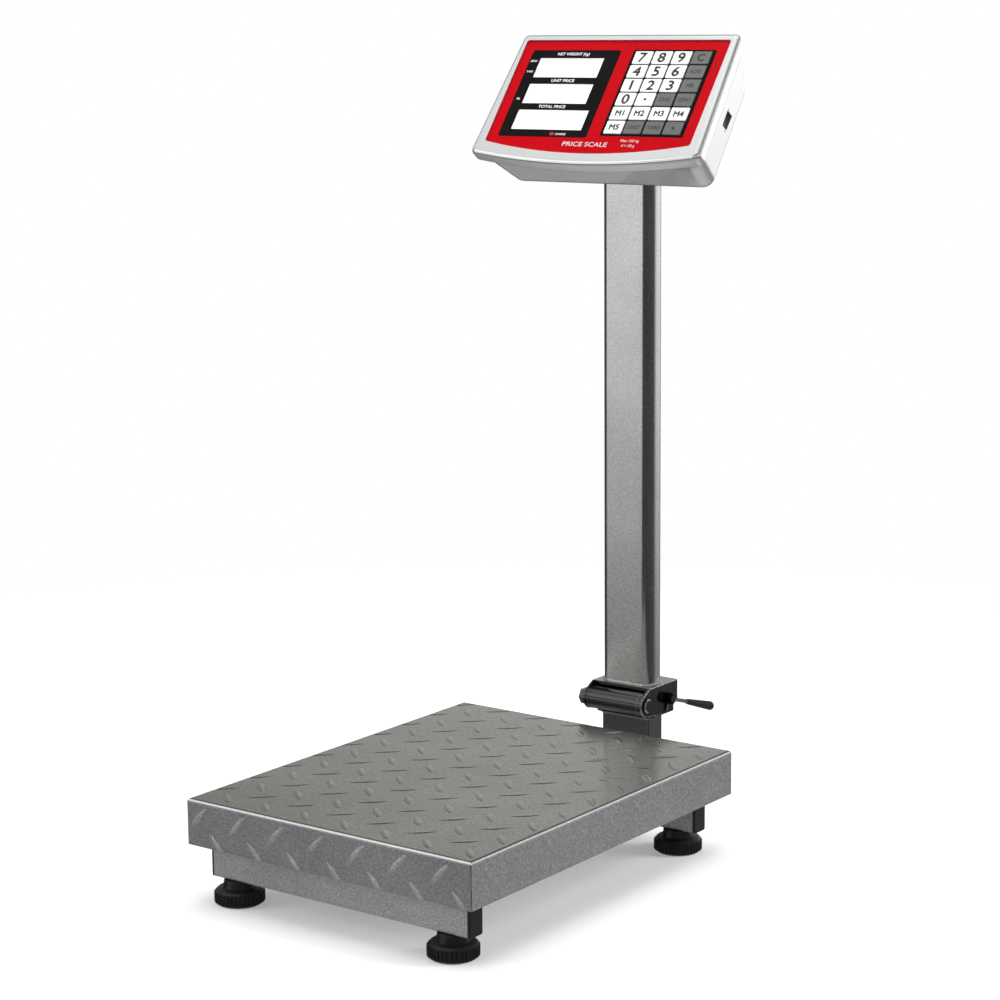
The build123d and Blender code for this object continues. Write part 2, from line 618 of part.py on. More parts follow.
with BuildPart() as lever_grip:
    with BuildSketch(Plane(origin=grip_start, z_dir=rod_way)):
        Circle(LEVER_ROD_RADIUS + GRIP_WALL)
    with BuildSketch(Plane(origin=GRIP_END, z_dir=rod_way)):
        Circle(GRIP_RADIUS)
    loft()
    with Locations(GRIP_END):
        Sphere(GRIP_RADIUS)
    with BuildSketch(Plane(origin=grip_start, z_dir=rod_way)):
        Circle(LEVER_ROD_RADIUS)
    extrude(amount=GRIP_LENGTH - ROD_SHORT, mode=Mode.SUBTRACT)
lever_grip.part.label = "lever_grip"
export_step(lever_grip.part, "parts/lever_grip.step")

# ---------------------------------------------------------------- hinge, folding half, and column

CHEEK_LOW = HINGE_Z - 15
CHEEK_HEEL_Y = HINGE_Y + 20
CHEEK_CHAMFER_Y = HINGE_Y + 39
CHEEK_CHAMFER_Z = HINGE_Z - 5.4
CHEEK_NOSE = BARREL_RADIUS + 0.5
CHEEK_SHOULDER = (HINGE_Y - 7.5, HINGE_Z + 10)
SLOT_START = 1.5                           # degrees above the level of the hinge
SLOT_DROP = 32.0
slot_radius = sqrt(LOCK_REACH ** 2 + (LOCK_Z - HINGE_Z) ** 2)
with BuildPart() as column_bracket:
    with BuildSketch(Plane(origin=(0, (BRACKET_FRONT + BRACKET_BACK) / 2, BRACKET_BOTTOM))):
        Rectangle(2 * CHEEK_OUTER, BRACKET_BACK - BRACKET_FRONT)
    extrude(amount=BRACKET_TOP - BRACKET_BOTTOM)
    for cheek_x in (-CHEEK_OUTER, CHEEK_INNER):
        with BuildSketch(upright(cheek_x)):
            with Locations((HINGE_Y, HINGE_Z)):
                Circle(CHEEK_NOSE)
            with BuildLine():
                Polyline(
                    (HINGE_Y, HINGE_Z - CHEEK_NOSE), (CHEEK_HEEL_Y, CHEEK_LOW), (CHEEK_CHAMFER_Y, CHEEK_LOW),
                    (BRACKET_BACK, CHEEK_CHAMFER_Z), (BRACKET_BACK, BRACKET_TOP),
                    (BRACKET_FRONT, BRACKET_TOP), CHEEK_SHOULDER, close=True)
            make_face()
            with Locations((HINGE_Y, HINGE_Z)):
                Circle(PIN_RADIUS + RUNNING, mode=Mode.SUBTRACT)
        extrude(amount=CHEEK_OUTER - CHEEK_INNER)
        with BuildSketch(upright(cheek_x)):
            with BuildLine():
                slot_path = CenterArc((HINGE_Y, HINGE_Z), slot_radius, SLOT_START, -SLOT_DROP)
            SlotArc(slot_path, LOCK_SLOT)
        extrude(amount=CHEEK_OUTER - CHEEK_INNER, mode=Mode.SUBTRACT)
    bracket_sides = column_bracket.faces().filter_by(Axis.X).group_by(Axis.X)
    chamfer(bracket_sides[0].edges() + bracket_sides[-1].edges(), HINGE_EDGE)
column_bracket.part.label = "column_bracket"
export_step(column_bracket.part, "parts/column_bracket.step")

plate_back = CASE_BACK - PLATE_THICK
with BuildPart() as column_tube:
    column_plane = Plane(origin=(0, COLUMN_Y, BRACKET_TOP))
    add(box_tube(column_plane, COLUMN_WIDTH, COLUMN_DEPTH, HEAD_Z - BRACKET_TOP, COLUMN_CORNER))
    split(bisect_by=HEAD.offset(plate_back), keep=Keep.BOTTOM)
column_tube.part.label = "column_tube"
export_step(column_tube.part, "parts/column_tube.step")

mount_screw_places = [(side * MOUNT_SCREW_X, v) for side in (-1, 1) for v in MOUNT_SCREW_VS]
with BuildPart() as head_mount_plate:
    with BuildSketch(HEAD.offset(plate_back)):
        with Locations((0, MOUNT_PLATE_V)):
            RectangleRounded(*MOUNT_PLATE_SIZE)
        with Locations(*mount_screw_places):
            Circle(MOUNT_SCREW_RADIUS + BOLT_CLEARANCE, mode=Mode.SUBTRACT)
    extrude(amount=PLATE_THICK)
head_mount_plate.part.label = "head_mount_plate"
export_step(head_mount_plate.part, "parts/head_mount_plate.step")

# ---------------------------------------------------------------- head, rear case


def case_trapezoid(half):
    """Corners of the case's section, a little wider at the bottom, running past the case's height."""
    low = half + CASE_FLARE
    high = half - CASE_FLARE
    end = CASE_FLARE_HALF
    return [(-low, -end), (low, -end), (high, end), (-high, end)]


def case_volume(inset):
    """The rear case's outside, or with an inset its inside, which runs out through the open front."""
    front = RIM_BACK + (1 if inset else 0)
    with BuildPart() as volume:
        with BuildSketch(HEAD.offset(front)):
            Polygon(*case_trapezoid(CASE_HALF_FRONT - inset), align=None)
        with BuildSketch(HEAD.offset(CASE_BACK)):
            Polygon(*case_trapezoid(CASE_HALF_BACK - inset), align=None)
        loft(ruled=True)
        with BuildSketch(head_side(0)):
            with BuildLine():
                Polyline(
                    (CASE_BOTTOM + inset, front), (CASE_BACK_BOTTOM + inset, CASE_BACK + inset),
                    (CASE_BACK_TOP - inset, CASE_BACK + inset), (CASE_TOP - inset, CASE_TOP_KNEE),
                    (CASE_TOP - inset, front), close=True)
            make_face()
        extrude(amount=CASE_HALF_FRONT + 2 * CASE_FLARE, both=True, mode=Mode.INTERSECT)
        rear_edges = volume.edges().filter_by(lambda e: HEAD.to_local_coords(e.center()).Z < front - 0.5)
        fillet(rear_edges, CASE_ROUND - inset)
    return volume.part


case_outside = case_volume(0)
case_inside = case_volume(CASE_WALL)
well_places = [(side * WELL_X, v) for side in (-1, 1) for v in WELL_VS]
with BuildPart() as screw_wells:
    with BuildSketch(HEAD.offset(CASE_BACK)):
        with Locations(*well_places):
            Circle(WELL_OUTER)
    extrude(amount=RIM_BACK - WELL_STEP - CASE_BACK)
    add(case_outside, mode=Mode.INTERSECT)

with BuildPart() as head_rear_case:
    add(case_outside)
    add(case_inside, mode=Mode.SUBTRACT)
    add(screw_wells.part)
    with BuildSketch(HEAD.offset(CASE_BACK)):
        with Locations(*mount_screw_places):
            Circle(MOUNT_BOSS[0])
    extrude(amount=MOUNT_BOSS[1])
    with BuildSketch(HEAD.offset(CASE_BACK)):
        with Locations(*well_places):
            Circle(WELL_INNER)
    extrude(amount=WELL_FLOOR - CASE_BACK, mode=Mode.SUBTRACT)
    with BuildSketch(HEAD.offset(CASE_BACK)):
        with Locations(*well_places):
            Circle(CASE_SCREW_RADIUS + BOLT_CLEARANCE)
        with Locations(*mount_screw_places):
            Circle(MOUNT_SCREW_RADIUS)
    extrude(amount=RIM_BACK - CASE_BACK, mode=Mode.SUBTRACT)
    with BuildSketch(head_side(CASE_REACH)):
        with Locations((SWITCH_V, SWITCH_W)):
            RectangleRounded(*SWITCH_OPENING)
    extrude(amount=-SIDE_CUT, mode=Mode.SUBTRACT)
    with BuildSketch(head_side(-CASE_REACH)):
        with Locations((SWITCH_V, SWITCH_W)):
            Circle(SOCKET_RADIUS + SOCKET_WALL + SOCKET_FIT)
    extrude(amount=SIDE_CUT, mode=Mode.SUBTRACT)
head_rear_case.part.label = "head_rear_case"
export_step(head_rear_case.part, "parts/head_rear_case.step")

# ---------------------------------------------------------------- head, front case and overlay


def bowed_outline(top_half, bottom_half, top, bottom, bow):
    """The lines of an outline with straight top and sides and a bottom edge that bows outwards."""
    with BuildLine() as outline:
        Polyline((-bottom_half, bottom), (-top_half, top), (top_half, top), (bottom_half, bottom))
        ThreePointArc((bottom_half, bottom), (0, bottom - bow), (-bottom_half, bottom))
    return outline.line


def key_places():
    """Name and place on the face of each key, row by row from the top left."""
    places = []
    for row, names in enumerate(KEY_ROWS):
        for column, key_name in enumerate(names):
            across = KEYPAD_X + (column - 1.5) * KEY_PITCH_X
            up = KEYPAD_Y + (2.5 - row) * KEY_PITCH_Y
            places.append((f"key_{key_name}", across, up))
    return places


def face_openings(mode):
    """Puts the outlines of the key and window openings into the open sketch."""
    with Locations(*[(across, up) for _, across, up in key_places()]):
        RectangleRounded(KEY_WIDTH + 2 * KEY_GAP, KEY_HEIGHT + 2 * KEY_GAP, KEY_CORNER, mode=mode)
    for across, up, width, height in WINDOWS:
        with Locations((across, up)):
            Rectangle(width, height, mode=mode)


board_boss_places = [(i * BOARD_BOSS[0], j * BOARD_BOSS[1]) for i in (-1, 1) for j in (-1, 1)]
with BuildPart() as head_front_case:
    with BuildSketch(HEAD.offset(RIM_BACK)) as rim_outline:
        add(bowed_outline(RIM_TOP_HALF, RIM_BOTTOM_HALF, RIM_UP, -RIM_UP, RIM_BOW))
        make_face()
        fillet(rim_outline.vertices(), RIM_CORNER)
    extrude(amount=RIM_PROUD - RIM_BACK)
    fillet(head_front_case.faces().sort_by(HEAD_AXIS)[-1].edges(), RIM_FRONT_ROUND)
    fillet(head_front_case.faces().sort_by(HEAD_AXIS)[0].edges(), RIM_BACK_ROUND)
    with BuildSketch(HEAD.offset(-OVERLAY)) as recess_outline:
        add(bowed_outline(OVERLAY_HALF, OVERLAY_HALF, OVERLAY_TOP, OVERLAY_BOTTOM, OVERLAY_BOW))
        make_face()
        fillet(recess_outline.vertices(), OVERLAY_CORNER)
    extrude(amount=RIM_PROUD + OVERLAY, mode=Mode.SUBTRACT)
    with BuildSketch(HEAD.offset(FACE_BACK)) as cavity_outline:
        with BuildLine():
            inner_low = CASE_HALF_FRONT - CASE_WALL + CAVITY_DRAFT
            inner_high = CASE_HALF_FRONT - CASE_WALL - CAVITY_DRAFT
            Polyline(
                (-inner_low, CASE_BOTTOM + CAVITY_WALL), (inner_low, CASE_BOTTOM + CAVITY_WALL),
                (inner_high, CASE_TOP - CAVITY_WALL), (-inner_high, CASE_TOP - CAVITY_WALL), close=True)
        make_face()
        fillet(cavity_outline.vertices(), CASE_ROUND - CASE_WALL)
    extrude(amount=RIM_BACK - FACE_BACK, mode=Mode.SUBTRACT)
    with BuildSketch(HEAD.offset(FACE_BACK)):
        with Locations(*board_boss_places):
            Circle(BOARD_BOSS_RADIUS)
            Circle(BOARD_PILOT_RADIUS, mode=Mode.SUBTRACT)
    extrude(amount=BOARD_TOP - FACE_BACK)
    with BuildSketch(HEAD.offset(FACE_BACK)):
        with Locations(*well_places):
            Circle(WELL_BOSS_RADIUS)
            Circle(CASE_SCREW_RADIUS, mode=Mode.SUBTRACT)
    extrude(amount=RIM_BACK - WELL_STEP - FACE_BACK)
    with BuildSketch(HEAD.offset(FACE_BACK)):
        face_openings(Mode.ADD)
    extrude(amount=RIM_PROUD - FACE_BACK, mode=Mode.SUBTRACT)
head_front_case.part.label = "head_front_case"
export_step(head_front_case.part, "parts/head_front_case.step")

with BuildPart() as face_overlay:
    with BuildSketch(HEAD.offset(-OVERLAY)) as overlay_outline:
        overlay_half = OVERLAY_HALF - OVERLAY_FIT
        overlay_top = OVERLAY_TOP - OVERLAY_FIT
        overlay_bottom = OVERLAY_BOTTOM + OVERLAY_FIT
        add(bowed_outline(overlay_half, overlay_half, overlay_top, overlay_bottom, OVERLAY_BOW))
        make_face()
        fillet(overlay_outline.vertices(), OVERLAY_CORNER)
        face_openings(Mode.SUBTRACT)
    extrude(amount=OVERLAY)
face_overlay.part.label = "face_overlay"
export_step(face_overlay.part, "parts/face_overlay.step")

with BuildPart() as lcd_panels:
    for across, up, width, height in WINDOWS:
        with BuildSketch(HEAD.offset(FACE_BACK)):
            with Locations((across, up)):
                Rectangle(width + 2 * GLASS_BORDER, height + 2 * GLASS_BORDER)
        extrude(amount=-GLASS_THICK)
        with BuildSketch(HEAD.offset(FACE_BACK)):
            with Locations((across, up)):
                Rectangle(width - 2 * GLASS_FIT, height - 2 * GLASS_FIT)
        extrude(amount=GLASS_TOP - FACE_BACK)
lcd_panels.part.label = "lcd_panels"
export_step(lcd_panels.part, "parts/lcd_panels.step")

# ---------------------------------------------------------------- inside the head

with BuildPart() as main_board:
    with BuildSketch(HEAD.offset(BOARD_TOP)):
        Rectangle(*BOARD_SIZE)
        with Locations(*board_boss_places):
            Circle(BOARD_PILOT_RADIUS, mode=Mode.SUBTRACT)
    extrude(amount=-BOARD_THICK)
main_board.part.label = "main_board"
export_step(main_board.part, "parts/main_board.step")

with BuildPart() as battery:
    with BuildSketch(HEAD.offset(CASE_BACK + CASE_WALL)):
        with Locations((0, MOUNT_PLATE_V)):
            RectangleRounded(BATTERY_SIZE[0], BATTERY_SIZE[1], BATTERY_CORNER)
    extrude(amount=BATTERY_SIZE[2])
    with BuildSketch(HEAD.offset(CASE_BACK + CASE_WALL + BATTERY_SIZE[2])):
        with Locations((-TERMINAL_X, MOUNT_PLATE_V), (TERMINAL_X, MOUNT_PLATE_V)):
            Rectangle(TERMINAL_SIZE[0], TERMINAL_SIZE[1])
    extrude(amount=TERMINAL_SIZE[2])
battery.part.label = "battery"
export_step(battery.part, "parts/battery.step")

with BuildPart() as head_screws:
    with BuildSketch(HEAD.offset(plate_back)):
        with Locations(*mount_screw_places):
            Circle(MOUNT_SCREW_HEAD[0])
    extrude(amount=-MOUNT_SCREW_HEAD[1])
    with BuildSketch(HEAD.offset(plate_back)):
        with Locations(*mount_screw_places):
            Circle(MOUNT_SCREW_RADIUS)
    extrude(amount=PLATE_THICK + MOUNT_SCREW_DEPTH)
    with BuildSketch(HEAD.offset(WELL_FLOOR)):
        with Locations(*well_places):
            Circle(CASE_SCREW_HEAD[0])
    extrude(amount=-CASE_SCREW_HEAD[1])
    with BuildSketch(HEAD.offset(WELL_FLOOR)):
        with Locations(*well_places):
            Circle(CASE_SCREW_RADIUS)
    extrude(amount=BOARD_TOP - WELL_FLOOR)
head_screws.part.label = "head_screws"
export_step(head_screws.part, "parts/head_screws.step")

# ---------------------------------------------------------------- keys

flange_top = FACE_BACK - BODY_GAP
flange_bottom = flange_top - KEY_FLANGE[2]
stem_bottom = BOARD_TOP + KEY_TRAVEL + BODY_GAP
for key_name, across, up in key_places():
    with BuildPart() as key:
        with BuildSketch(HEAD.offset(flange_top)):
            with Locations((across, up)):
                RectangleRounded(KEY_WIDTH, KEY_HEIGHT, KEY_CORNER)
        extrude(amount=KEY_TOP - flange_top)
        fillet(key.faces().sort_by(HEAD_AXIS)[-1].edges(), KEY_ROUND)
        with BuildSketch(HEAD.offset(flange_bottom)):
            with Locations((across, up)):
                RectangleRounded(KEY_WIDTH + 2 * KEY_FLANGE[0], KEY_HEIGHT + 2 * KEY_FLANGE[1], KEY_CORNER)
        extrude(amount=KEY_FLANGE[2])
        with BuildSketch(HEAD.offset(flange_bottom)):
            with Locations((across, up)):
                Circle(KEY_STEM_RADIUS)
        extrude(amount=stem_bottom - flange_bottom)
    key.part.label = key_name
    export_step(key.part, f"parts/{key_name}.step")

# ---------------------------------------------------------------- power switch and charging socket

switch_height = SWITCH_OPENING[0] - 2 * SWITCH_FIT
switch_width = SWITCH_OPENING[1] - 2 * SWITCH_FIT
rocker_pivot = HEAD.from_local_coords(Vector(ROCKER_AXIS_X, SWITCH_V, SWITCH_W))
with BuildPart() as power_switch_body:
    with BuildSketch(head_side(SWITCH_FACE_X - SWITCH_DEPTH)):
        with Locations((SWITCH_V, SWITCH_W)):
            RectangleRounded(switch_height, switch_width, SWITCH_OPENING[2])
    extrude(amount=SWITCH_DEPTH)
    with BuildSketch(head_side(ROCKER_AXIS_X - ROCKER_WELL)):
        with Locations((SWITCH_V, SWITCH_W)):
            Rectangle(ROCKER_SIZE[0] + ROCKER_ROOM[0], ROCKER_SIZE[1] + ROCKER_ROOM[1])
    extrude(amount=SWITCH_DEPTH, mode=Mode.SUBTRACT)
    with BuildSketch(Plane(origin=rocker_pivot, x_dir=HEAD_UP, z_dir=HEAD_NORMAL)):
        Circle(ROCKER_PIVOT + RUNNING)
    extrude(amount=ROCKER_SIZE[1] / 2 + PIVOT_BORE, both=True, mode=Mode.SUBTRACT)
power_switch_body.part.label = "power_switch_body"
export_step(power_switch_body.part, "parts/power_switch_body.step")

rocker_plane = Plane(origin=rocker_pivot, x_dir=HEAD_UP, z_dir=(1, 0, 0)).rotated((0, ROCKER_TILT, 0))
with BuildPart() as power_rocker:
    with BuildSketch(rocker_plane.offset(-ROCKER_BELOW)):
        Rectangle(*ROCKER_SIZE)
    extrude(amount=ROCKER_BELOW + ROCKER_ABOVE)
    dish_axis = rocker_plane.from_local_coords(Vector(0, 0, ROCKER_ABOVE + DISH_RADIUS - DISH_DEPTH))
    with BuildSketch(Plane(origin=dish_axis, x_dir=rocker_plane.x_dir, z_dir=rocker_plane.y_dir)):
        Circle(DISH_RADIUS)
    extrude(amount=ROCKER_SIZE[1], both=True, mode=Mode.SUBTRACT)
    with BuildSketch(Plane(origin=rocker_pivot, x_dir=HEAD_UP, z_dir=HEAD_NORMAL)):
        Circle(ROCKER_PIVOT)
    extrude(amount=ROCKER_SIZE[1] / 2 + PIVOT_REACH, both=True)
power_rocker.part.label = "power_rocker"
export_step(power_rocker.part, "parts/power_rocker.step")

with BuildPart() as charge_socket:
    with BuildSketch(head_side(SOCKET_FACE_X)):
        with Locations((SWITCH_V, SWITCH_W)):
            Circle(SOCKET_RADIUS + SOCKET_WALL)
            Circle(SOCKET_RADIUS, mode=Mode.SUBTRACT)
    extrude(amount=SOCKET_DEPTH)
    with BuildSketch(head_side(SOCKET_FACE_X + SOCKET_DEPTH)):
        with Locations((SWITCH_V, SWITCH_W)):
            Circle(SOCKET_RADIUS + SOCKET_WALL)
    extrude(amount=SOCKET_END)
    with BuildSketch(head_side(SOCKET_FACE_X + 1)):
        with Locations((SWITCH_V, SWITCH_W)):
            Circle(SOCKET_PIN_RADIUS)
    extrude(amount=SOCKET_DEPTH)
charge_socket.part.label = "charge_socket"
export_step(charge_socket.part, "parts/charge_socket.step")
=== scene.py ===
"""Looks for the folding platform scale: paints, tread marks, printed face, weld beads and studio."""
import json
import math

import bmesh
import bpy
from mathutils import Matrix, Vector, noise


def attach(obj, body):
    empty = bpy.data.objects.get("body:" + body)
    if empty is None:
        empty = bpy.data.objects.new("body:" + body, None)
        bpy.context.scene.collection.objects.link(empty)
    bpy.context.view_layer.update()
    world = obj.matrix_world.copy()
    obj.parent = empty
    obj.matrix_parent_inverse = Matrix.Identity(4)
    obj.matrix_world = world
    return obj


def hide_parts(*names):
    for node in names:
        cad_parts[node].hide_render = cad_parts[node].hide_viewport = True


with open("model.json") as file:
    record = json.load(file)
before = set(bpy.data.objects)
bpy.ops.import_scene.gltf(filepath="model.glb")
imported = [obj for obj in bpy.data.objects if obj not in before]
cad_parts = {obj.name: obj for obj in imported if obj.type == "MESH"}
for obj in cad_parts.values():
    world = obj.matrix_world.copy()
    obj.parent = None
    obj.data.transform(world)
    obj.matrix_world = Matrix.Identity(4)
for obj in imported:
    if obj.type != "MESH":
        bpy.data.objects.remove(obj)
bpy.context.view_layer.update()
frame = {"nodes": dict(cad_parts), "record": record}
nodes = frame["nodes"]


MM = 0.001
RIGHT, BACK, UP = Vector((1, 0, 0)), Vector((0, 1, 0)), Vector((0, 0, 1))
CORNERS = ((1, 1), (-1, 1), (-1, -1), (1, -1))

# the head's own axes; its origin is in millimetres
LEAN = math.radians(37.3)
HEAD_ORIGIN = Vector((0, 180.7, 773.5))
HEAD_UP = Vector((0, math.sin(LEAN), math.cos(LEAN)))
HEAD_OUT = Vector((0, -math.cos(LEAN), math.sin(LEAN)))

# the weighing pan and its tread marks, in millimetres
PAN_Y = -68.5
PAN_TOP = 105.0
PAN_HALF_X = 175.0
PAN_HALF_Y = 225.0
PAN_SKIRT = 46.5
PAN_EDGE = 6.0
SKIRT_INSET = 1.0
SKIRT_HALF_X = PAN_HALF_X - SKIRT_INSET
SKIRT_HALF_Y = PAN_HALF_Y - SKIRT_INSET
MARK_LENGTH = 31.0
MARK_WIDTH = 8.6
MARK_HEIGHT = 0.42
FRONT_MARK_HEIGHT = 0.8
SIDE_MARK_HEIGHT = 0.26
MARK_EMBED = 0.06
PITCH_X = 49.5
PITCH_Y = 48.75

# ------------------------------------------------------------------ node helpers


class Nodes:
    """A node tree in the making."""

    def __init__(self, tree):
        self.tree = tree

    def node(self, kind, **settings):
        """A new node; each setting is one of its properties or the value of one of its inputs."""
        made = self.tree.nodes.new(kind)
        for key, value in settings.items():
            if hasattr(made, key):
                setattr(made, key, value)
            else:
                made.inputs[key.replace("_", " ")].default_value = value
        return made

    def link(self, output, target):
        self.tree.links.new(output, target)

    def maths(self, kind, a, b=0.0):
        """One sum on two values, each an output or a number."""
        made = self.node("ShaderNodeMath", operation=kind)
        for socket, value in zip(made.inputs, (a, b)):
            if isinstance(value, bpy.types.NodeSocket):
                self.link(value, socket)
            else:
                socket.default_value = value
        return made.outputs["Value"]

    def smooth(self, value, start, end, low=0.0, high=1.0):
        """Low where the value is start, high where it is end, and eased between them."""
        made = self.node("ShaderNodeMapRange", interpolation_type="SMOOTHSTEP")
        for key, number in (("From Min", start), ("From Max", end), ("To Min", low), ("To Max", high)):
            made.inputs[key].default_value = number
        self.link(value, made.inputs["Value"])
        return made.outputs["Result"]

    def dot(self, vector, direction):
        """How far a vector reaches along a fixed direction."""
        made = self.node("ShaderNodeVectorMath", operation="DOT_PRODUCT")
        made.inputs[1].default_value = direction
        self.link(vector, made.inputs[0])
        return made.outputs["Value"]

    def parts(self, vector):
        """The X, Y and Z of a vector."""
        made = self.node("ShaderNodeSeparateXYZ")
        self.link(vector, made.inputs[0])
        return made.outputs


class Paint(Nodes):
    """A node material in the making: a Principled shader and the nodes that feed it."""

    def __init__(self, name, **values):
        self.material = bpy.data.materials.new(name)
        self.material.use_nodes = True
        super().__init__(self.material.node_tree)
        self.shader = self.tree.nodes["Principled BSDF"]
        coordinates = self.node("ShaderNodeTexCoord")
        self.place = coordinates.outputs["Object"]
        self.facing = coordinates.outputs["Normal"]
        for key, value in values.items():
            self.shader.inputs[key.replace("_", " ")].default_value = value

    def noise(self, scale, detail=3.0, rough=0.5, stretch=None):
        """Noise from 0 to 1; scale is in features per metre, stretch a factor on it for each axis."""
        made = self.node("ShaderNodeTexNoise", Scale=scale, Detail=detail, Roughness=rough)
        place = self.place
        if stretch is not None:
            mapping = self.node("ShaderNodeMapping", Scale=stretch)
            self.link(place, mapping.inputs["Vector"])
            place = mapping.outputs["Vector"]
        self.link(place, made.inputs["Vector"])
        return made.outputs["Fac"]

    def cells(self, scale, smoothness):
        """Distance from the middle of rounded cells; scale is in cells per metre."""
        made = self.node(
            "ShaderNodeTexVoronoi", feature="SMOOTH_F1", Scale=scale, Smoothness=smoothness)
        self.link(self.place, made.inputs["Vector"])
        return made.outputs["Distance"]

    def ramp(self, value, stops):
        """Colour from a value: stops are (position, colour), a colour being a grey or three numbers."""
        made = self.node("ShaderNodeValToRGB")
        elements = made.color_ramp.elements
        while len(elements) < len(stops):
            elements.new(0.5)
        for element, (position, colour) in zip(elements, stops):
            element.position = position
            rgb = (colour,) * 3 if isinstance(colour, (int, float)) else colour
            element.color = (*rgb, 1.0)
        self.link(value, made.inputs["Fac"])
        return made.outputs["Color"]

    def mix(self, a, b, factor, kind="MIX"):
        """Two colours mixed; each argument is an output, a colour of three numbers or a number."""
        made = self.node("ShaderNodeMix", data_type="RGBA", blend_type=kind)
        for socket, value in ((made.inputs[0], factor), (made.inputs[6], a), (made.inputs[7], b)):
            if isinstance(value, bpy.types.NodeSocket):
                self.link(value, socket)
            elif isinstance(value, tuple):
                socket.default_value = (*value, 1.0)
            else:
                socket.default_value = value
        return made.outputs[2]

    def times(self, a, b):
        """One colour multiplied by another."""
        return self.mix(a, b, 1.0, "MULTIPLY")

    def spread(self, value, low, high):
        """A value from 0..1 mapped to low..high."""
        made = self.node("ShaderNodeMapRange", To_Min=low, To_Max=high)
        self.link(value, made.inputs["Value"])
        return made.outputs["Result"]

    def bump(self, height, depth, strength=1.0):
        """Adds relief to the relief that the shader already has."""
        made = self.node("ShaderNodeBump", Strength=strength, Distance=depth)
        self.link(height, made.inputs["Height"])
        normal = self.shader.inputs["Normal"]
        if normal.is_linked:
            self.link(normal.links[0].from_socket, made.inputs["Normal"])
        self.link(made.outputs["Normal"], normal)

    def feed(self, key, value):
        self.link(value, self.shader.inputs[key])


# ------------------------------------------------------------------ hammertone paint

CELL_SMOOTHNESS = 0.6
CELL_RELIEF = 0.7
GRAIN_SCALE, PATCH_SCALE, PORE_SCALE = 520.0, 9.0, 1400.0
PATCH_TONES = ((0.3, 0.9), (0.7, 1.08))

# how far a face looks up where the pan's lighter top tint, a painted light, begins and is full, and how
# metallic the top is
TOP_FACING = ((0.55, 0.0), (0.8, 1.0))
TOP_METALLIC = 0.9
# how nearly a face looks along one axis where it is a bend and where it no longer is, and the paler tone
# of a bend, a painted highlight
BEND_HIGHLIGHT_FACING = ((0.78, 1.0), (0.95, 0.0))
BEND_HIGHLIGHT_TONE = (0.75, 0.75, 0.73)
# how far a mark stands out of a skirt, in metres, where its paler tone, a painted highlight, begins and is
# full
MARK_HIGHLIGHT_HEIGHTS = (0.0001, 0.0008)
MARK_HIGHLIGHT_TONE = (1.45, 1.45, 1.45)
# the column's middle in metres, and how far a face looks back where its paint begins and ends to dull
COLUMN_MIDDLE = 0.2315
REAR_FACING = (0.3, 0.9)
REAR_METALLIC = 0.45


def pan_tone(paint, colour, top, metallic):
    """The pan's colour: faces that look up are lighter, a painted light on the top, its bends are paler, a
    painted highlight, and the raised marks on its skirts are paler, a painted highlight.
    """
    facing = paint.parts(paint.facing)
    sizes = [paint.maths("ABSOLUTE", facing[axis]) for axis in "XYZ"]
    largest = paint.maths("MAXIMUM", paint.maths("MAXIMUM", sizes[0], sizes[1]), sizes[2])
    # faces that look up get a lighter, warmer tint: painted light on the pan's top
    upward = paint.ramp(facing["Z"], TOP_FACING)
    colour = paint.mix(colour, paint.times(colour, top), upward)
    paint.feed("Metallic", paint.spread(upward, metallic, TOP_METALLIC))
    # the bends get a paler tone, a painted highlight
    colour = paint.mix(colour, BEND_HIGHLIGHT_TONE, paint.ramp(largest, BEND_HIGHLIGHT_FACING))
    # marks that stand out of the skirts get a paler tone below, a painted highlight
    spot = paint.parts(paint.place)
    across = paint.maths("ABSOLUTE", spot["X"])
    along = paint.maths("ABSOLUTE", paint.maths("SUBTRACT", spot["Y"], PAN_Y * MM))
    proud = paint.maths(
        "MAXIMUM", paint.maths("SUBTRACT", across, SKIRT_HALF_X * MM),
        paint.maths("SUBTRACT", along, SKIRT_HALF_Y * MM))
    return paint.mix(colour, paint.times(colour, MARK_HIGHLIGHT_TONE), paint.smooth(proud, *MARK_HIGHLIGHT_HEIGHTS))


def crown_column(paint, crown, metallic):
    """Crowns the column's sides and its front a little, and dulls its rear face."""
    spot = paint.parts(paint.place)
    back = paint.maths("ABSOLUTE", paint.maths("SUBTRACT", spot["Y"], COLUMN_MIDDLE))
    side = paint.maths("MULTIPLY", paint.maths("POWER", back, 2.0), -crown[0])
    across = paint.maths("ABSOLUTE", spot["X"])
    front = paint.maths("MULTIPLY", paint.maths("POWER", across, 4.0), -crown[1])
    paint.bump(paint.maths("ADD", side, front), 1.0)
    start, end = REAR_FACING
    rear = paint.ramp(paint.parts(paint.facing)["Y"], [(start, metallic), (end, REAR_METALLIC)])
    paint.feed("Metallic", rear)


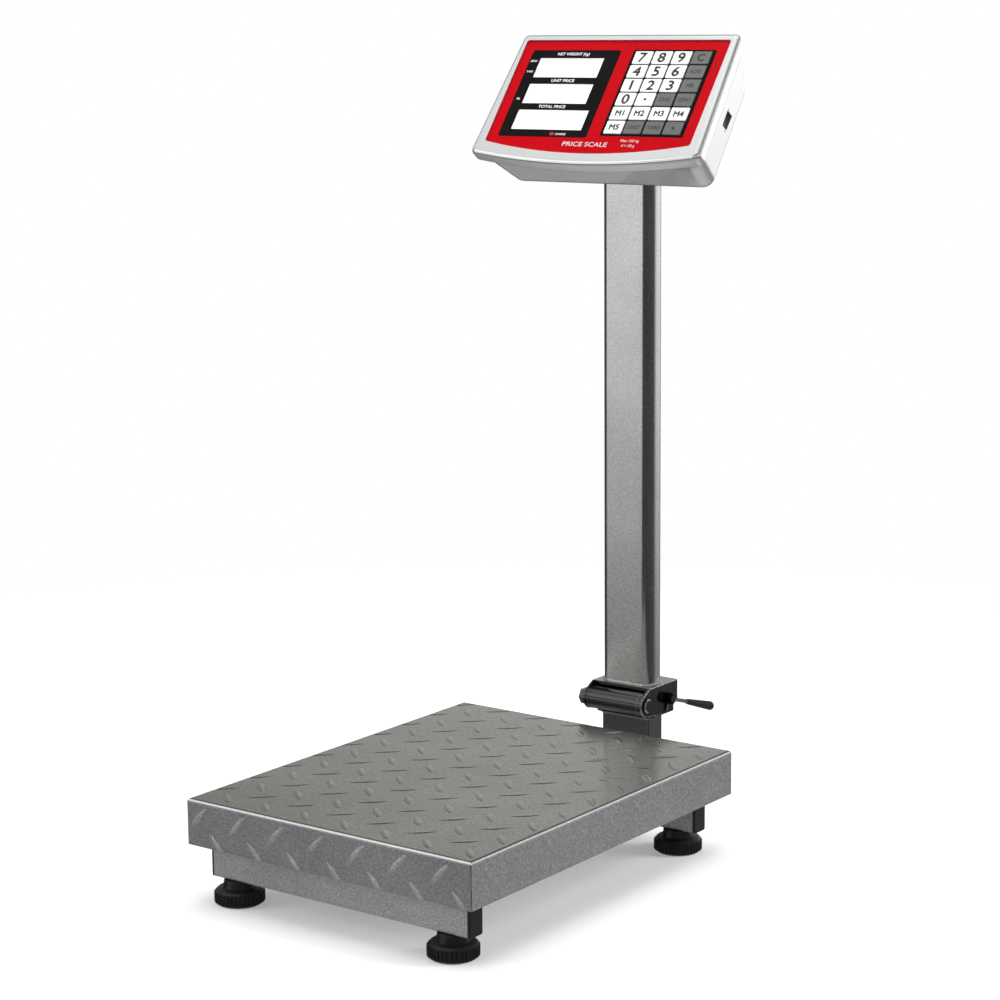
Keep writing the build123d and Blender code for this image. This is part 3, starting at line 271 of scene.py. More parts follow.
def hammertone(name, dark, light, cell, metallic, rough, depth, speckle, top=None, crown=None):
    """Hammertone paint: shallow cells with darker rims, over a slow change in tone.

    cell is the size of a cell in millimetres, and depth how deep it is in metres.
    top, if given, is the tint of faces that look up, a painted light on the pan's top; the pan's bends and
    the raised marks on its skirts are then paler, painted highlights.
    crown, if given, is how strongly the column's sides and its front are crowned, per metre and per
    cubic metre.
    """
    paint = Paint(name, Metallic=metallic)
    cells = paint.cells(1 / MM / cell, CELL_SMOOTHNESS)
    grain = paint.noise(GRAIN_SCALE, 4.0, 0.65)
    colour = paint.ramp(cells, [(0.12, light), (0.62, dark)])
    specks = paint.ramp(grain, [(0.34, 1 - speckle), (0.5, 1.0), (0.68, 1 + speckle)])
    colour = paint.times(colour, specks)
    colour = paint.times(colour, paint.ramp(paint.noise(PATCH_SCALE, 2.0), PATCH_TONES))
    if top is not None:
        colour = pan_tone(paint, colour, top, metallic)
    paint.feed("Base Color", colour)
    paint.feed("Roughness", paint.spread(grain, *rough))
    paint.bump(cells, depth, CELL_RELIEF)
    paint.bump(paint.noise(PORE_SCALE, 2.0), depth / 4, 0.6)
    if crown is not None:
        crown_column(paint, crown, metallic)
    return paint.material


# ------------------------------------------------------------------ plastic, smooth paint and metal

# how far a face looks sideways on a chamfered edge, and how much of its paler tone, a painted highlight,
# shows there
EDGE_FACING = ((0.5, 0.0), (0.62, 1.0), (0.8, 1.0), (0.95, 0.0))
EDGE_HIGHLIGHT_PATCHES = ((0.4, 0.15), (0.62, 1.0))
# the joint between the head's cases: metres behind its face where a painted shade begins and ends, and its
# tone
SEAM_SHADE = (0.012, 0.028)
SEAM_SHADE_TONE = 0.3
BLOTCHES = ((0.3, 0.85), (0.7, 1.05))
PAINTED_BLACK = (0.01, 0.01, 0.01)


def painted_edge_highlights(paint, tone, edge_highlight):
    """A tone with paler chamfered edges in patches, a painted highlight."""
    sideways = paint.maths("ABSOLUTE", paint.parts(paint.facing)["X"])
    highlight_patches = paint.ramp(paint.noise(160.0, 4.0, 0.7), EDGE_HIGHLIGHT_PATCHES)
    return paint.mix(tone, edge_highlight, paint.times(paint.ramp(sideways, EDGE_FACING), highlight_patches))


def painted_seam_shade(paint, tone, seam_shade):
    """A tone that darkens towards the joint between the head's two cases, a painted shade."""
    begin, end = (value - HEAD_ORIGIN.dot(HEAD_OUT) * MM for value in seam_shade)
    return paint.times(tone, paint.smooth(paint.dot(paint.place, -HEAD_OUT), begin, end, SEAM_SHADE_TONE))


def moulded(name, colour, rough, grain, depth, vary, edge_highlight=None, seam_shade=None, **values):
    """Moulded plastic or smooth paint: a fine grain, a slow change in tone and faint smears in the gloss.

    edge_highlight, if given, is the paler tone of chamfered edges, a painted highlight.
    seam_shade, if given, is how far behind the head's face the painted shade at the joint of its cases
    begins and ends.
    """
    paint = Paint(name, **values)
    low = tuple(part * (1 - vary) for part in colour)
    high = tuple(min(1.0, part * (1 + vary)) for part in colour)
    tone = paint.ramp(paint.noise(14.0), [(0.3, low), (0.7, high)])
    # paler chamfered edges in patches, a painted highlight
    if edge_highlight is not None:
        tone = painted_edge_highlights(paint, tone, edge_highlight)
    # darker towards the joint of the head's cases, a painted shade
    if seam_shade is not None:
        tone = painted_seam_shade(paint, tone, seam_shade)
    paint.feed("Base Color", tone)
    paint.feed("Roughness", paint.spread(paint.noise(40.0, 4.0), rough * 0.75, rough * 1.25))
    paint.bump(paint.noise(grain, 3.0, 0.6), depth, 0.5)
    return paint.material


def metal(name, colour, rough, stretch, black_below=None):
    """Plated or milled metal with faint streaks along its length.

    black_below, if given, is the x, in metres, below which the metal is painted black.
    """
    paint = Paint(name, Metallic=1.0)
    streaks = paint.noise(260.0, 4.0, 0.6, stretch)
    tone = paint.ramp(streaks, [(0.3, tuple(part * 0.8 for part in colour)), (0.7, colour)])
    tone = paint.times(tone, paint.ramp(paint.noise(60.0), BLOTCHES))
    if black_below is not None:
        painted = paint.maths("LESS_THAN", paint.parts(paint.place)["X"], black_below)
        tone = paint.mix(tone, PAINTED_BLACK, painted)
    paint.feed("Base Color", tone)
    paint.feed("Roughness", paint.spread(streaks, rough * 0.7, rough * 1.4))
    paint.bump(streaks, 0.00004, 0.4)
    return paint.material


# ------------------------------------------------------------------ materials of the slots

CASE = {
    "colour": (0.78, 0.79, 0.79), "rough": 0.15, "grain": 800.0, "depth": 0.000003, "vary": 0.03,
    "Metallic": 0.8, "Coat_Weight": 0.3, "Coat_Roughness": 0.06,
}
STEEL = {"colour": (0.6, 0.6, 0.58), "rough": 0.3, "stretch": (1.0, 1.0, 8.0)}
LEVER_HUB_END = 0.0472

materials = {
    # the pan's top is lighter than its skirts, a painted light; its bends and skirt marks are paler,
    # painted highlights
    "pan_paint": hammertone(
        "pan_paint", dark=(0.2, 0.204, 0.208), light=(0.29, 0.295, 0.3), cell=2.1, metallic=0.35,
        rough=(0.13, 0.22), depth=0.00006, speckle=0.16, top=(1.2, 1.2, 1.04)),
    "frame_paint": hammertone(
        "frame_paint", dark=(0.35, 0.354, 0.35), light=(0.57, 0.575, 0.57), cell=1.5, metallic=0.5,
        rough=(0.28, 0.42), depth=0.00012, speckle=0.18),
    "column_paint": hammertone(
        "column_paint", dark=(0.56, 0.565, 0.56), light=(0.64, 0.645, 0.635), cell=2.0, metallic=0.96,
        rough=(0.12, 0.22), depth=0.00002, speckle=0.1, crown=(13.0, 1600.0)),
    # its chamfered edges are paler, a painted highlight
    "black_steel": moulded(
        "black_steel", (0.003, 0.003, 0.003), 0.13, 420.0, 0.00003, 0.3, edge_highlight=(0.35, 0.35, 0.34),
        Coat_Weight=0.8, Coat_Roughness=0.06),
    "steel": metal("steel", **STEEL),
    "load_cell_alloy": metal("load_cell_alloy", (0.72, 0.73, 0.74), 0.32, (6.0, 0.6, 1.0)),
    "pad_rubber": moulded("pad_rubber", (0.02, 0.02, 0.021), 0.7, 700.0, 0.00005, 0.25),
    "black_plastic": moulded("black_plastic", (0.014, 0.014, 0.015), 0.38, 900.0, 0.00004, 0.2),
    "foot_plastic": moulded("foot_plastic", (0.011, 0.011, 0.012), 0.42, 700.0, 0.00005, 0.25),
    "case_plastic": moulded("case_plastic", **CASE),
    "overlay_red": moulded(
        "overlay_red", (0.4, 0.0, 0.004), 0.4, 1500.0, 0.00001, 0.05, Specular_IOR_Level=0.03),
    "lcd_glass": moulded("lcd_glass", (0.86, 0.885, 0.87), 0.1, 500.0, 0.000004, 0.015),
    "board_green": moulded("board_green", (0.02, 0.16, 0.06), 0.35, 600.0, 0.00003, 0.2),
    "battery_case": moulded("battery_case", (0.035, 0.035, 0.04), 0.45, 800.0, 0.00003, 0.2),
    "key_white": moulded("key_white", (0.82, 0.82, 0.81), 0.3, 900.0, 0.00002, 0.03),
    "key_grey": moulded("key_grey", (0.1, 0.105, 0.1), 0.32, 900.0, 0.00002, 0.08),
}

print_black = moulded(
    "print_black", (0.006, 0.005, 0.005), 0.4, 1500.0, 0.00001, 0.2, Specular_IOR_Level=0.04)
print_white = moulded("print_white", (0.8, 0.8, 0.8), 0.4, 1500.0, 0.00001, 0.05)
print_dark = moulded("print_dark", (0.02, 0.02, 0.02), 0.4, 1500.0, 0.00001, 0.1)
print_pale = moulded("print_pale", (0.5, 0.5, 0.5), 0.4, 1500.0, 0.00001, 0.1)
lamp_red = moulded("lamp_red", (0.35, 0.02, 0.02), 0.15, 800.0, 0.00001, 0.1)


def dress(node, material):
    """Gives a CAD node its only material."""
    nodes[node].data.materials.clear()
    nodes[node].data.materials.append(material)


slots = {part["node"]: part["material_slot"] for part in frame["record"]["subparts"]}
for name in nodes:
    dress(name, materials[slots[name]])

# the post's paint is darker than the frame's, a painted shade
dress("post", hammertone(
    "post_shaded_paint", dark=(0.2, 0.204, 0.208), light=(0.27, 0.275, 0.28), cell=1.8, metallic=0.95,
    rough=(0.24, 0.36), depth=0.00001, speckle=0.15))
dress("lock_bolt", moulded("bolt_black", (0.01, 0.01, 0.01), 0.22, 420.0, 0.00006, 0.3))
dress("lock_lever", metal("lever_steel", **STEEL, black_below=LEVER_HUB_END))
# the rear case darkens towards its joint with the front case, a painted shade
dress("head_rear_case", moulded("rear_case", **CASE, seam_shade=SEAM_SHADE))

# ------------------------------------------------------------------ weighing pan with its tread marks

MARK_ROWS, MARK_COLUMNS = 12, 6
# how blunt a mark's outline is, how steep its sides are and how late its ends fall
OUTLINE_POWER, SIDE_POWER, END_POWER = 0.75, 2.4, 0.55
# a mark whose middle lies further past an edge than this, in millimetres, is left out
MARK_PAST = 6.0
MARKS_EACH_WAY = 6
# how far the marks of a skirt stay from its sides, its lower edge and the bend above it
SKIRT_SIDE, SKIRT_LOWER, BEND_REACH = 3.0, 0.5, 1.5


def tread_mark(mesh, place, along, across, out, rise):
    """One raised lens-shaped mark, centred on place, in a bmesh in millimetres."""
    grid = []
    for i in range(MARK_ROWS + 1):
        s = -math.cos(math.pi * i / MARK_ROWS)
        half = MARK_WIDTH / 2 * (1 - s * s) ** OUTLINE_POWER
        line = []
        for j in range(MARK_COLUMNS + 1):
            t = -1 + 2 * j / MARK_COLUMNS
            lift = rise * (1 - abs(t) ** SIDE_POWER) * (1 - s * s) ** END_POWER - MARK_EMBED
            spot = place + along * (s * MARK_LENGTH / 2) + across * (t * half) + out * lift
            line.append(mesh.verts.new(spot))
        grid.append(line)
    for this, following in zip(grid, grid[1:]):
        for j in range(MARK_COLUMNS):
            mesh.faces.new((this[j], following[j], following[j + 1], this[j + 1])).smooth = True


def tread_field(mesh, origin, right, up, half, low, high, first, turned, rise):
    """Marks over a rectangle, in two families that lean opposite ways; its edges cut those that pass them.

    first is where one mark of the first family lies, and turned the family that leans right.
    """
    out = right.cross(up)
    field = bmesh.new()
    counts = range(-MARKS_EACH_WAY, MARKS_EACH_WAY + 1)
    for family in (0, 1):
        lean = 1 if family == turned else -1
        along = (right + up * lean).normalized()
        across = (right - up * lean).normalized()
        for i in counts:
            for j in counts:
                u = first[0] + (i + family / 2) * PITCH_X
                v = first[1] + (j + family / 2) * PITCH_Y
                if abs(u) <= half + MARK_PAST and low - MARK_PAST < v < high + MARK_PAST:
                    tread_mark(field, origin + right * u + up * v, along, across, out, rise)
    for side, normal in ((right * half, right), (right * -half, -right), (up * high, up), (up * low, -up)):
        geometry = field.verts[:] + field.edges[:] + field.faces[:]
        bmesh.ops.bisect_plane(
            field, geom=geometry, plane_co=origin + side, plane_no=normal, clear_outer=True)
    bmesh.ops.recalc_face_normals(field, faces=field.faces[:])
    inward = [face for face in field.faces if face.normal.dot(out) < 0]
    bmesh.ops.reverse_faces(field, faces=inward)
    part = bpy.data.meshes.new("tread_field")
    field.to_mesh(part)
    field.free()
    mesh.from_mesh(part)
    bpy.data.meshes.remove(part)


def weighing_pan():
    """The bent sheet of the pan with its tread marks; the skirts are set in to leave room for theirs."""
    mesh = bmesh.new()
    mesh.from_mesh(nodes["weighing_pan"].data)
    for vertex in mesh.verts:
        x, y, z = vertex.co / MM
        y = PAN_Y + (y - PAN_Y) * (SKIRT_HALF_Y / PAN_HALF_Y)
        vertex.co = Vector((x * (SKIRT_HALF_X / PAN_HALF_X), y, z))
    top = Vector((0, PAN_Y, PAN_TOP))
    half_x, half_y = PAN_HALF_X - PAN_EDGE, PAN_HALF_Y - PAN_EDGE
    tread_field(mesh, top, RIGHT, BACK, half_x, -half_y, half_y, (-17.0, 17.0), 0, MARK_HEIGHT)
    low, high = -PAN_SKIRT + SKIRT_LOWER, -PAN_EDGE + BEND_REACH
    skirts = (
        # outward, rightward, distance, half width, first mark, family that leans right, height
        (-BACK, RIGHT, SKIRT_HALF_Y, PAN_HALF_X, (-11.0, -18.0), 0, FRONT_MARK_HEIGHT),
        (BACK, -RIGHT, SKIRT_HALF_Y, PAN_HALF_X, (9.0, -18.0), 0, FRONT_MARK_HEIGHT),
        (RIGHT, BACK, SKIRT_HALF_X, PAN_HALF_Y, (-1.0, -18.0), 1, SIDE_MARK_HEIGHT),
        (-RIGHT, -BACK, SKIRT_HALF_X, PAN_HALF_Y, (4.0, -18.0), 1, SIDE_MARK_HEIGHT),
    )
    for outward, right, distance, half, first, turned, rise in skirts:
        middle = top + outward * distance
        tread_field(mesh, middle, right, UP, half - SKIRT_SIDE, low, high, first, turned, rise)
    data = bpy.data.meshes.new("tread_pan")
    mesh.to_mesh(data)
    mesh.free()
    data.transform(Matrix.Scale(MM, 4))
    data.materials.clear()
    data.materials.append(materials["pan_paint"])
    obj = bpy.data.objects.new("tread_pan", data)
    bpy.context.scene.collection.objects.link(obj)
    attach(obj, "pan")
    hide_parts("weighing_pan")


weighing_pan()

# ------------------------------------------------------------------ printed face, in face millimetres

# each window of the display: across, up, width and height
WINDOWS = ((-61.0, 33.2, 82.0, 25.5), (-61.0, 0.0, 82.0, 25.5), (-57.0, -33.0, 90.0, 25.5))
# the black prints round the windows and round the keys: across, up, width, height and corner radius
DISPLAY_PRINT = (-58.65, 0.55, 112.7, 110.5, 2.5)
KEYPAD_PRINT = (63.8, 2.2, 101.0, 108.0, 2.0)
LAMP = (-47.0, -50.6, 5.0, 3.6, 1.2)
WINDOW_LAP = 0.5
KEY_GAP = 0.4
# the height of a key's top, the least height of the points that belong to it, and the heights of prints
KEY_TOP = 1.3
KEY_SIDE_TOP = 0.5
PRINT = 0.03
PRINT_STEP = 0.004
LABEL_HEIGHT = 0.06

head_axes = Matrix((RIGHT, HEAD_UP, HEAD_OUT)).transposed().to_4x4()
face_matrix = Matrix.Translation(HEAD_ORIGIN * MM) @ head_axes @ Matrix.Scale(MM, 4)
inverse_face = face_matrix.inverted()


def on_face(name, data, material, height, body="column"):
    """Turns a flat curve or text into a thin printed mesh on the head."""
    data.extrude = PRINT / 2
    helper = bpy.data.objects.new(name + "_curve", data)
    bpy.context.scene.collection.objects.link(helper)
    bpy.context.view_layer.update()
    mesh = bpy.data.meshes.new_from_object(helper.evaluated_get(bpy.context.evaluated_depsgraph_get()))
    bpy.data.objects.remove(helper)
    mesh.transform(face_matrix @ Matrix.Translation((0.0, 0.0, height + PRINT)))
    mesh.materials.clear()
    mesh.materials.append(material)
    obj = bpy.data.objects.new(name, mesh)
    bpy.context.scene.collection.objects.link(obj)
    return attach(obj, body)


def outline(loops):
    """A flat filled curve from closed loops of points; loops inside others are holes."""
    curve = bpy.data.curves.new("outline", "CURVE")
    curve.dimensions = "2D"
    curve.fill_mode = "BOTH"
    for loop in loops:
        spline = curve.splines.new("POLY")
        spline.points.add(len(loop) - 1)
        for point, (u, v) in zip(spline.points, loop):
            point.co = (u, v, 0, 1)
        spline.use_cyclic_u = True
    return curve


def rectangle(u, v, width, height):
    """The corners of a rectangle."""
    return [(u + i * width / 2, v + j * height / 2) for i, j in CORNERS]


def rounded(u, v, width, height, radius, steps=4):
    """Points of a rectangle with rounded corners."""
    points = []
    for turn, (i, j) in enumerate(CORNERS):
        for step in range(steps + 1):
            angle = math.radians(90 * turn + 90 * step / steps)
            points.append((
                u + i * (width / 2 - radius) + radius * math.cos(angle),
                v + j * (height / 2 - radius) + radius * math.sin(angle)))
    return points


def words(text, size):
    """A line of text."""
    data = bpy.data.curves.new("words", "FONT")
    data.body = text
    data.size = size
    data.resolution_u = 4
    return data


def label(name, text, u, v, size, material, bold, wide, height=LABEL_HEIGHT, body="column"):
    """Printed text centred at a place on the face, stretched sideways by wide and thickened by bold."""
    obj = on_face(name, words(text, size), material, height, body)
    local = [inverse_face @ vertex.co for vertex in obj.data.vertices]
    ends = [[point[axis] for point in local] for axis in (0, 1)]
    middle = Vector([(min(end) + max(end)) / 2 for end in ends] + [0])
    stretch = Matrix.Diagonal((wide, 1, 1, 1))
    move = Matrix.Translation((u, v, 0)) @ stretch @ Matrix.Translation(-middle)
    obj.data.transform(face_matrix @ move @ inverse_face)
    thick = bmesh.new()
    for step, (i, j) in enumerate(((0, 0), (1, 0), (-1, 0), (0, 1), (0, -1))):
        copy = obj.data.copy()
        shift = Matrix.Translation((i * bold, j * bold, step * PRINT_STEP))
        copy.transform(face_matrix @ shift @ inverse_face)
        thick.from_mesh(copy)
        bpy.data.meshes.remove(copy)
    thick.to_mesh(obj.data)
    thick.free()


def key_box(obj):
    """Where the top of a key lies on the face: across, up, width and height."""
    local = [inverse_face @ vertex.co for vertex in obj.data.vertices]
    top = [point for point in local if point.z > KEY_SIDE_TOP]
    us = [point.x for point in top]
    vs = [point.y for point in top]
    return (min(us) + max(us)) / 2, (min(vs) + max(vs)) / 2, max(us) - min(us), max(vs) - min(vs)


holes = [rectangle(u, v, w - WINDOW_LAP, h - WINDOW_LAP) for u, v, w, h in WINDOWS]
on_face("display_surround", outline([rounded(*DISPLAY_PRINT)] + holes), print_black, 0.0)

key_boxes = {name: key_box(obj) for name, obj in nodes.items() if name.startswith("key_")}
holes = [rectangle(u, v, w + KEY_GAP, h + KEY_GAP) for u, v, w, h in key_boxes.values()]
on_face("keypad_surround", outline([rounded(*KEYPAD_PRINT)] + holes), print_black, 0.0)

LABELS = (
    # name, words, across, up, size, print, how bold, how wide
    ("label_weight", "NET WEIGHT (kg)", -61.0, 50.2, 5.0, print_white, 0.06, 1.05),
    ("label_unit_price", "UNIT PRICE", -61.0, 16.6, 5.0, print_white, 0.05, 1.15),
    ("label_total_price", "TOTAL PRICE", -61.0, -16.6, 5.0, print_white, 0.05, 1.15),
    ("label_zero_mark", "ZERO", -108.8, 41.5, 3.4, print_white, 0.04, 1.0),
    ("label_tare_mark", "TARE", -108.8, 28.0, 3.4, print_white, 0.04, 1.0),
    ("label_unit_mark", "/kg", -108.8, -7.0, 3.6, print_white, 0.04, 1.0),
    ("label_charge", "CHARGE", -36.0, -50.8, 3.4, print_white, 0.04, 1.0),
    ("label_kind", "PRICE SCALE", -0.5, -62.6, 7.6, print_pale, 0.12, 1.3),
    ("label_capacity", "Max 150 kg", 53.0, -57.6, 4.4, print_pale, 0.05, 1.1),
    ("label_division", "d = 20 g", 53.0, -63.6, 4.4, print_pale, 0.05, 1.1),
)
for entry in LABELS:
    label(*entry)
on_face("lamp_lens", outline([rounded(*LAMP)]), lamp_red, LABEL_HEIGHT)

# the prints of the keys: a dot's width and corner radius, or words with their size, boldness and width
KEY_DOTS = {"key_point": (3.4, 1.6), "key_light": (3.8, 1.8)}
KEY_WORDS = {
    "key_clear": "C", "key_add": "ADD", "key_recall": "MR", "key_change": "CHG", "key_zero": "ZERO",
    "key_unit": "UNIT", "key_tare": "TARE",
}
DIGIT, MEMORY, CLEAR, FUNCTION = (16.4, 0.55, 1.15), (9.4, 0.42, 1.05), (12.0, 0.42, 1.1), (6.6, 0.12, 1.0)


def key_print(name, u, v):
    """The print on top of one key."""
    tag = name[len("key_"):]
    if name in KEY_DOTS:
        width, radius = KEY_DOTS[name]
        on_face("print_" + name, outline([rounded(u, v, width, width, radius)]), print_dark, KEY_TOP, name)
        return
    if tag.isdigit():
        style = DIGIT
    elif tag[0] == "m" and tag[1:].isdigit():
        style = MEMORY
    elif tag == "clear":
        style = CLEAR
    else:
        style = FUNCTION
    size, bold, wide = style
    text = KEY_WORDS.get(name, tag.upper())
    label("print_" + name, text, u, v, size, print_dark, bold, wide, KEY_TOP, name)


for name, (u, v, _, _) in key_boxes.items():
    key_print(name, u, v)

# ------------------------------------------------------------------ weld beads

WELD_RADIUS = 2.0
WELD_STEP = 1.3
WELD_SIDES = 8
# the parts of a bead's radius: steady, uneven and rippled, and how fast the last two change
WELD_STEADY, WELD_UNEVEN, WELD_RIPPLE = 0.85, 0.25, 0.18
UNEVEN_RATE, RIPPLE_RATE = 0.9, 1.9

weld_paint = hammertone(
    "weld_paint", dark=(0.45, 0.455, 0.45), light=(0.62, 0.625, 0.615), cell=1.4, metallic=0.8,
    rough=(0.18, 0.3), depth=0.0001, speckle=0.2)


def weld_path(node, end, corner):
    """Points round one end of an upright tube, in millimetres; end is min or max."""
    spots = [vertex.co / MM for vertex in nodes[node].data.vertices]
    level = end(spot.z for spot in spots)
    rim = [spot for spot in spots if abs(spot.z - level) < 1]
    low = [min(spot[axis] for spot in rim) for axis in (0, 1)]
    high = [max(spot[axis] for spot in rim) for axis in (0, 1)]
    middle = [(low[axis] + high[axis]) / 2 for axis in (0, 1)]
    loop = [
        Vector((*point, level))
        for point in rounded(*middle, high[0] - low[0], high[1] - low[1], corner)]
    path = []
    for start, stop in zip(loop, loop[1:] + loop[:1]):
        count = max(1, round((stop - start).length / WELD_STEP))
        path += [start.lerp(stop, i / count) for i in range(count)]
    return path


def weld(name, node, end, corner, body):
    """A rippled weld bead round one end of an upright tube."""
    path = weld_path(node, end, corner)
    turns = [2 * math.pi * k / WELD_SIDES for k in range(WELD_SIDES)]
    bead = bmesh.new()
    rings = []
    for i, point in enumerate(path):
        along = (path[(i + 1) % len(path)] - path[i - 1]).normalized()
        out = along.cross(UP)
        uneven = WELD_UNEVEN * noise.noise(point * UNEVEN_RATE)
        radius = WELD_RADIUS * (WELD_STEADY + uneven + WELD_RIPPLE * math.sin(i * RIPPLE_RATE))
        spokes = [out * math.cos(turn) + UP * math.sin(turn) for turn in turns]
        rings.append([bead.verts.new(point + spoke * radius) for spoke in spokes])
    for this, following in zip(rings, rings[1:] + rings[:1]):
        for k in range(WELD_SIDES):
            m = (k + 1) % WELD_SIDES
            bead.faces.new((this[k], following[k], following[m], this[m])).smooth = True
    bmesh.ops.recalc_face_normals(bead, faces=bead.faces[:])
    data = bpy.data.meshes.new(name)
    bead.to_mesh(data)
    bead.free()
    data.transform(Matrix.Scale(MM, 4))
    data.materials.append(weld_paint)
    obj = bpy.data.objects.new(name, data)
    bpy.context.scene.collection.objects.link(obj)
    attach(obj, body)


weld("column_weld", "column_tube", min, 8.0, "column")
weld("post_weld", "post", max, 3.0, "base")

# ------------------------------------------------------------------ floor and wall

scene = bpy.context.scene
scene.view_settings.view_transform = "Standard"
STUDIO_WHITE = (1.0, 1.0, 1.0, 1.0)
FLOOR_RADIUS = 12.0
WALL_HEIGHT = 9.0
LATHE_SEGMENTS = 128
# metres from the middle where the floor begins and ends to glow, and how much it glows before that
FLOOR_GLOW = (0.55, 1.5)
FLOOR_LEAST_GLOW = 0.3


def lathed(name, profile, material):
    """A smooth surface turned about the vertical through the middle of the scale, hidden from gloss."""
    made = bmesh.new()
    turns = [2 * math.pi * i / LATHE_SEGMENTS for i in range(LATHE_SEGMENTS)]
    rings = [
        [made.verts.new((radius * math.cos(turn), radius * math.sin(turn), height)) for turn in turns]
        for radius, height in profile]
    for inner, outer in zip(rings, rings[1:]):
        for i in range(LATHE_SEGMENTS):
            j = (i + 1) % LATHE_SEGMENTS
            made.faces.new((inner[i], outer[i], outer[j], inner[j])).smooth = True
    made.faces.new(rings[0])
    data = bpy.data.meshes.new(name)
    made.to_mesh(data)
    made.free()
    data.materials.append(material)
    obj = bpy.data.objects.new(name, data)
    scene.collection.objects.link(obj)
    obj.visible_glossy = False
    return obj


def floor_material():
    """A pale floor that catches the shadow and fades into the glow of the studio."""
    paint = Paint("studio_floor", Roughness=0.9, Specular_IOR_Level=0.1)
    paint.feed("Base Color", paint.ramp(paint.noise(3.0, 4.0), [(0.3, 0.8), (0.7, 0.82)]))
    paint.bump(paint.noise(300.0), 0.0001, 0.2)
    glow = paint.node("ShaderNodeEmission", Color=STUDIO_WHITE)
    reach = paint.node("ShaderNodeVectorMath", operation="LENGTH")
    paint.link(paint.place, reach.inputs[0])
    blend = paint.node("ShaderNodeMixShader")
    paint.link(paint.smooth(reach.outputs["Value"], *FLOOR_GLOW, FLOOR_LEAST_GLOW), blend.inputs[0])
    paint.link(paint.shader.outputs["BSDF"], blend.inputs[1])
    paint.link(glow.outputs["Emission"], blend.inputs[2])
    paint.link(blend.outputs["Shader"], paint.tree.nodes["Material Output"].inputs["Surface"])
    return paint.material


def wall_material():
    """The even glow of the studio's wall and ceiling."""
    paint = Paint("studio_wall")
    glow = paint.node("ShaderNodeEmission", Color=STUDIO_WHITE)
    paint.link(glow.outputs["Emission"], paint.tree.nodes["Material Output"].inputs["Surface"])
    return paint.material


FLOOR_PROFILE = ((0.3, 0.0), (1.5, 0.0), (4.0, 0.0), (FLOOR_RADIUS, 0.0))
WALL_PROFILE = (
    (0.3, WALL_HEIGHT), (FLOOR_RADIUS * 0.7, WALL_HEIGHT), (FLOOR_RADIUS, WALL_HEIGHT * 0.7),
    (FLOOR_RADIUS, -0.01))
lathed("studio_floor", FLOOR_PROFILE, floor_material())
wall = lathed("studio_wall", WALL_PROFILE, wall_material())
wall.visible_diffuse = False
wall.visible_shadow = False
wall.visible_transmission = False

# ------------------------------------------------------------------ what the shiny faces mirror

world = bpy.data.worlds.new("studio")
scene.world = world
world.use_nodes = True
sky = Nodes(world.node_tree)
way = sky.node("ShaderNodeTexCoord").outputs["Generated"]


def toward(azimuth, elevation):
    """A direction by its angles in degrees; azimuth 0 is in front of the scale and 90 at its right."""
    turn = math.radians(azimuth)
    return Vector((math.sin(turn), -math.cos(turn), math.tan(math.radians(elevation)))).normalized()


def lobe(direction, start, end, strength):
    """Brightness round one direction; start and end are cosines of the angle from it."""
    return sky.smooth(sky.dot(way, direction), start, end, 0.0, strength)


def kept_at(value, start, end):
    """A brightness kept only at some heights: none where the direction's z is start, all of it at end."""
    return sky.maths("MULTIPLY", value, sky.smooth(sky.parts(way)["Z"], start, end))


def added(values):
    """The sum of several brightness values."""
    total = values[0]
    for value in values[1:]:
        total = sky.maths("ADD", total, value)
    return total


BASE_LIGHT = 0.03
ROOM_LIGHT = 0.09
# a band above the horizon, brighter behind the camera and at the left and right
room = added([
    ROOM_LIGHT,
    lobe(toward(37, 15), 0.2, 0.7, 0.5),
    lobe(toward(270, 15), 0.5, 0.9, 0.36),
    lobe(toward(115, 15), 0.8, 0.97, 0.34),
])
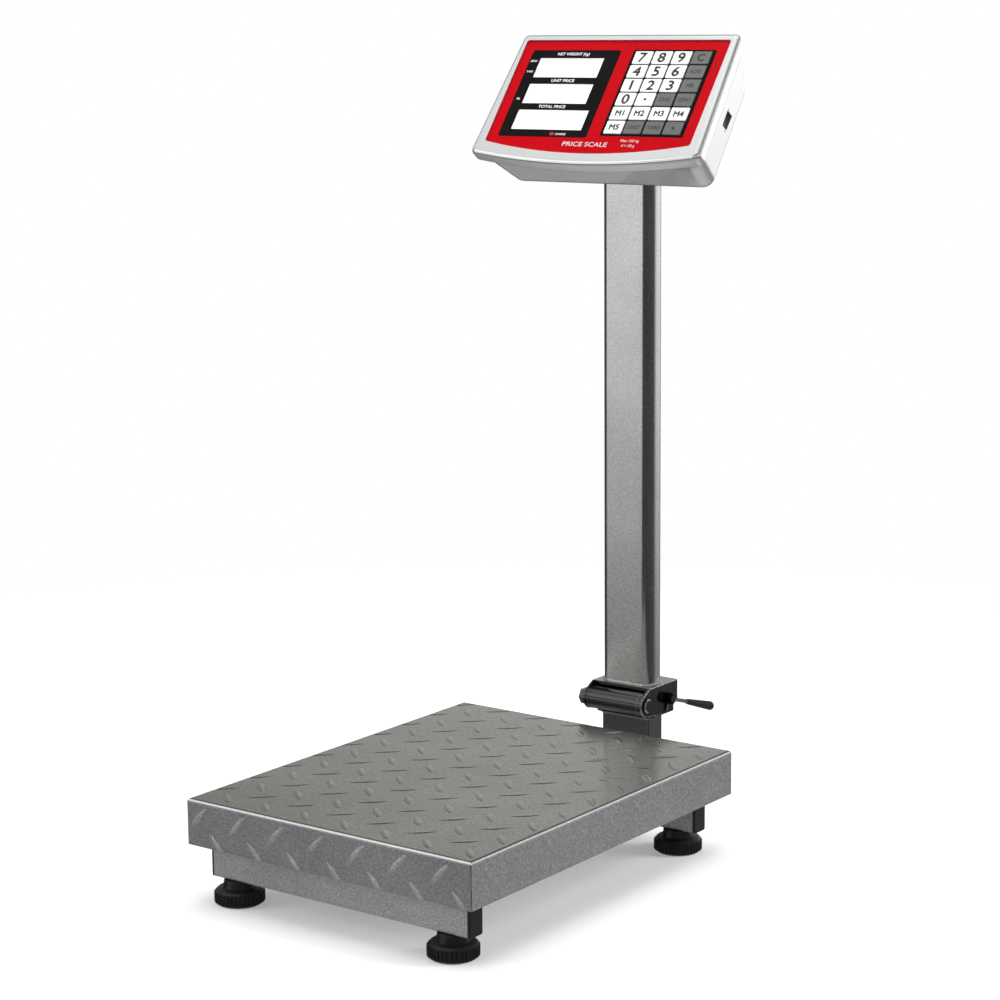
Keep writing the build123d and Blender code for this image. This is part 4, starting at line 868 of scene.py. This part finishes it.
# mirrored by the faces that look forward, and by those that look to the right
front_glow = kept_at(kept_at(lobe(toward(-37, -4), 0.93, 0.975, 1.15), -0.34, 0.0), 0.2, 0.05)
right_glow = kept_at(lobe(toward(167, -4), 0.84, 0.97, 1.2), -0.33, -0.03)
brightness = added([
    BASE_LIGHT,
    kept_at(kept_at(room, 0.06, 0.16), 0.55, 0.36),
    front_glow,
    right_glow,
    lobe(toward(205, 10), 0.927, 0.99, 0.53),  # the pan's top
    lobe(toward(-42, 30), 0.95, 0.985, 1.2),  # the bend along the pan's front
    lobe(toward(-66, 54), 0.93, 0.98, 0.62),  # the head's face and rim
    lobe(UP, 0.74, 0.97, 0.9),
    lobe(-UP, 0.4, 0.95, 0.38),  # the head's underside
])
sky.link(brightness, sky.tree.nodes["Background"].inputs["Color"])

# ------------------------------------------------------------------ lights


def softbox(name, place, target, size, power):
    """A rectangular area light that faces its target, hidden from gloss."""
    light = bpy.data.lights.new(name, "AREA")
    light.shape = "RECTANGLE"
    light.size, light.size_y = size
    light.energy = power
    obj = bpy.data.objects.new(name, light)
    obj.location = place
    obj.rotation_euler = (Vector(target) - Vector(place)).to_track_quat("-Z", "Y").to_euler()
    obj.visible_glossy = False
    scene.collection.objects.link(obj)


softbox("top_box", (-0.4, 0.3, 3.4), (0, 0, 0.2), (3.2, 3.2), 156.0)
softbox("left_box", (-2.4, -2.2, 1.7), (0, 0, 0.5), (1.6, 1.8), 34.0)
softbox("right_box", (2.6, 1.8, 1.6), (0, 0, 0.5), (1.2, 1.8), 110.0)

# ------------------------------------------------------------------ camera, as the photo was taken

CAMERA_PLACE = (1.5378, -2.0879, 0.8511)
CAMERA_LENS = 94.2
CAMERA_SENSOR = 36.0
YAW, PITCH, ROLL = math.radians(36.49), math.radians(10.42), math.radians(-0.478)

forward = Vector((-math.sin(YAW) * math.cos(PITCH), math.cos(YAW) * math.cos(PITCH), -math.sin(PITCH)))
level_right = Vector((math.cos(YAW), math.sin(YAW), 0))
level_up = level_right.cross(forward)
camera_right = level_right * math.cos(ROLL) + level_up * math.sin(ROLL)
camera_up = level_up * math.cos(ROLL) - level_right * math.sin(ROLL)
camera_data = bpy.data.cameras.new("camera")
camera_data.lens = CAMERA_LENS
camera_data.sensor_width = CAMERA_SENSOR
camera = bpy.data.objects.new("camera", camera_data)
camera_axes = Matrix((camera_right, camera_up, -forward)).transposed().to_4x4()
camera.matrix_world = Matrix.Translation(CAMERA_PLACE) @ camera_axes
scene.collection.objects.link(camera)
scene.camera = camera
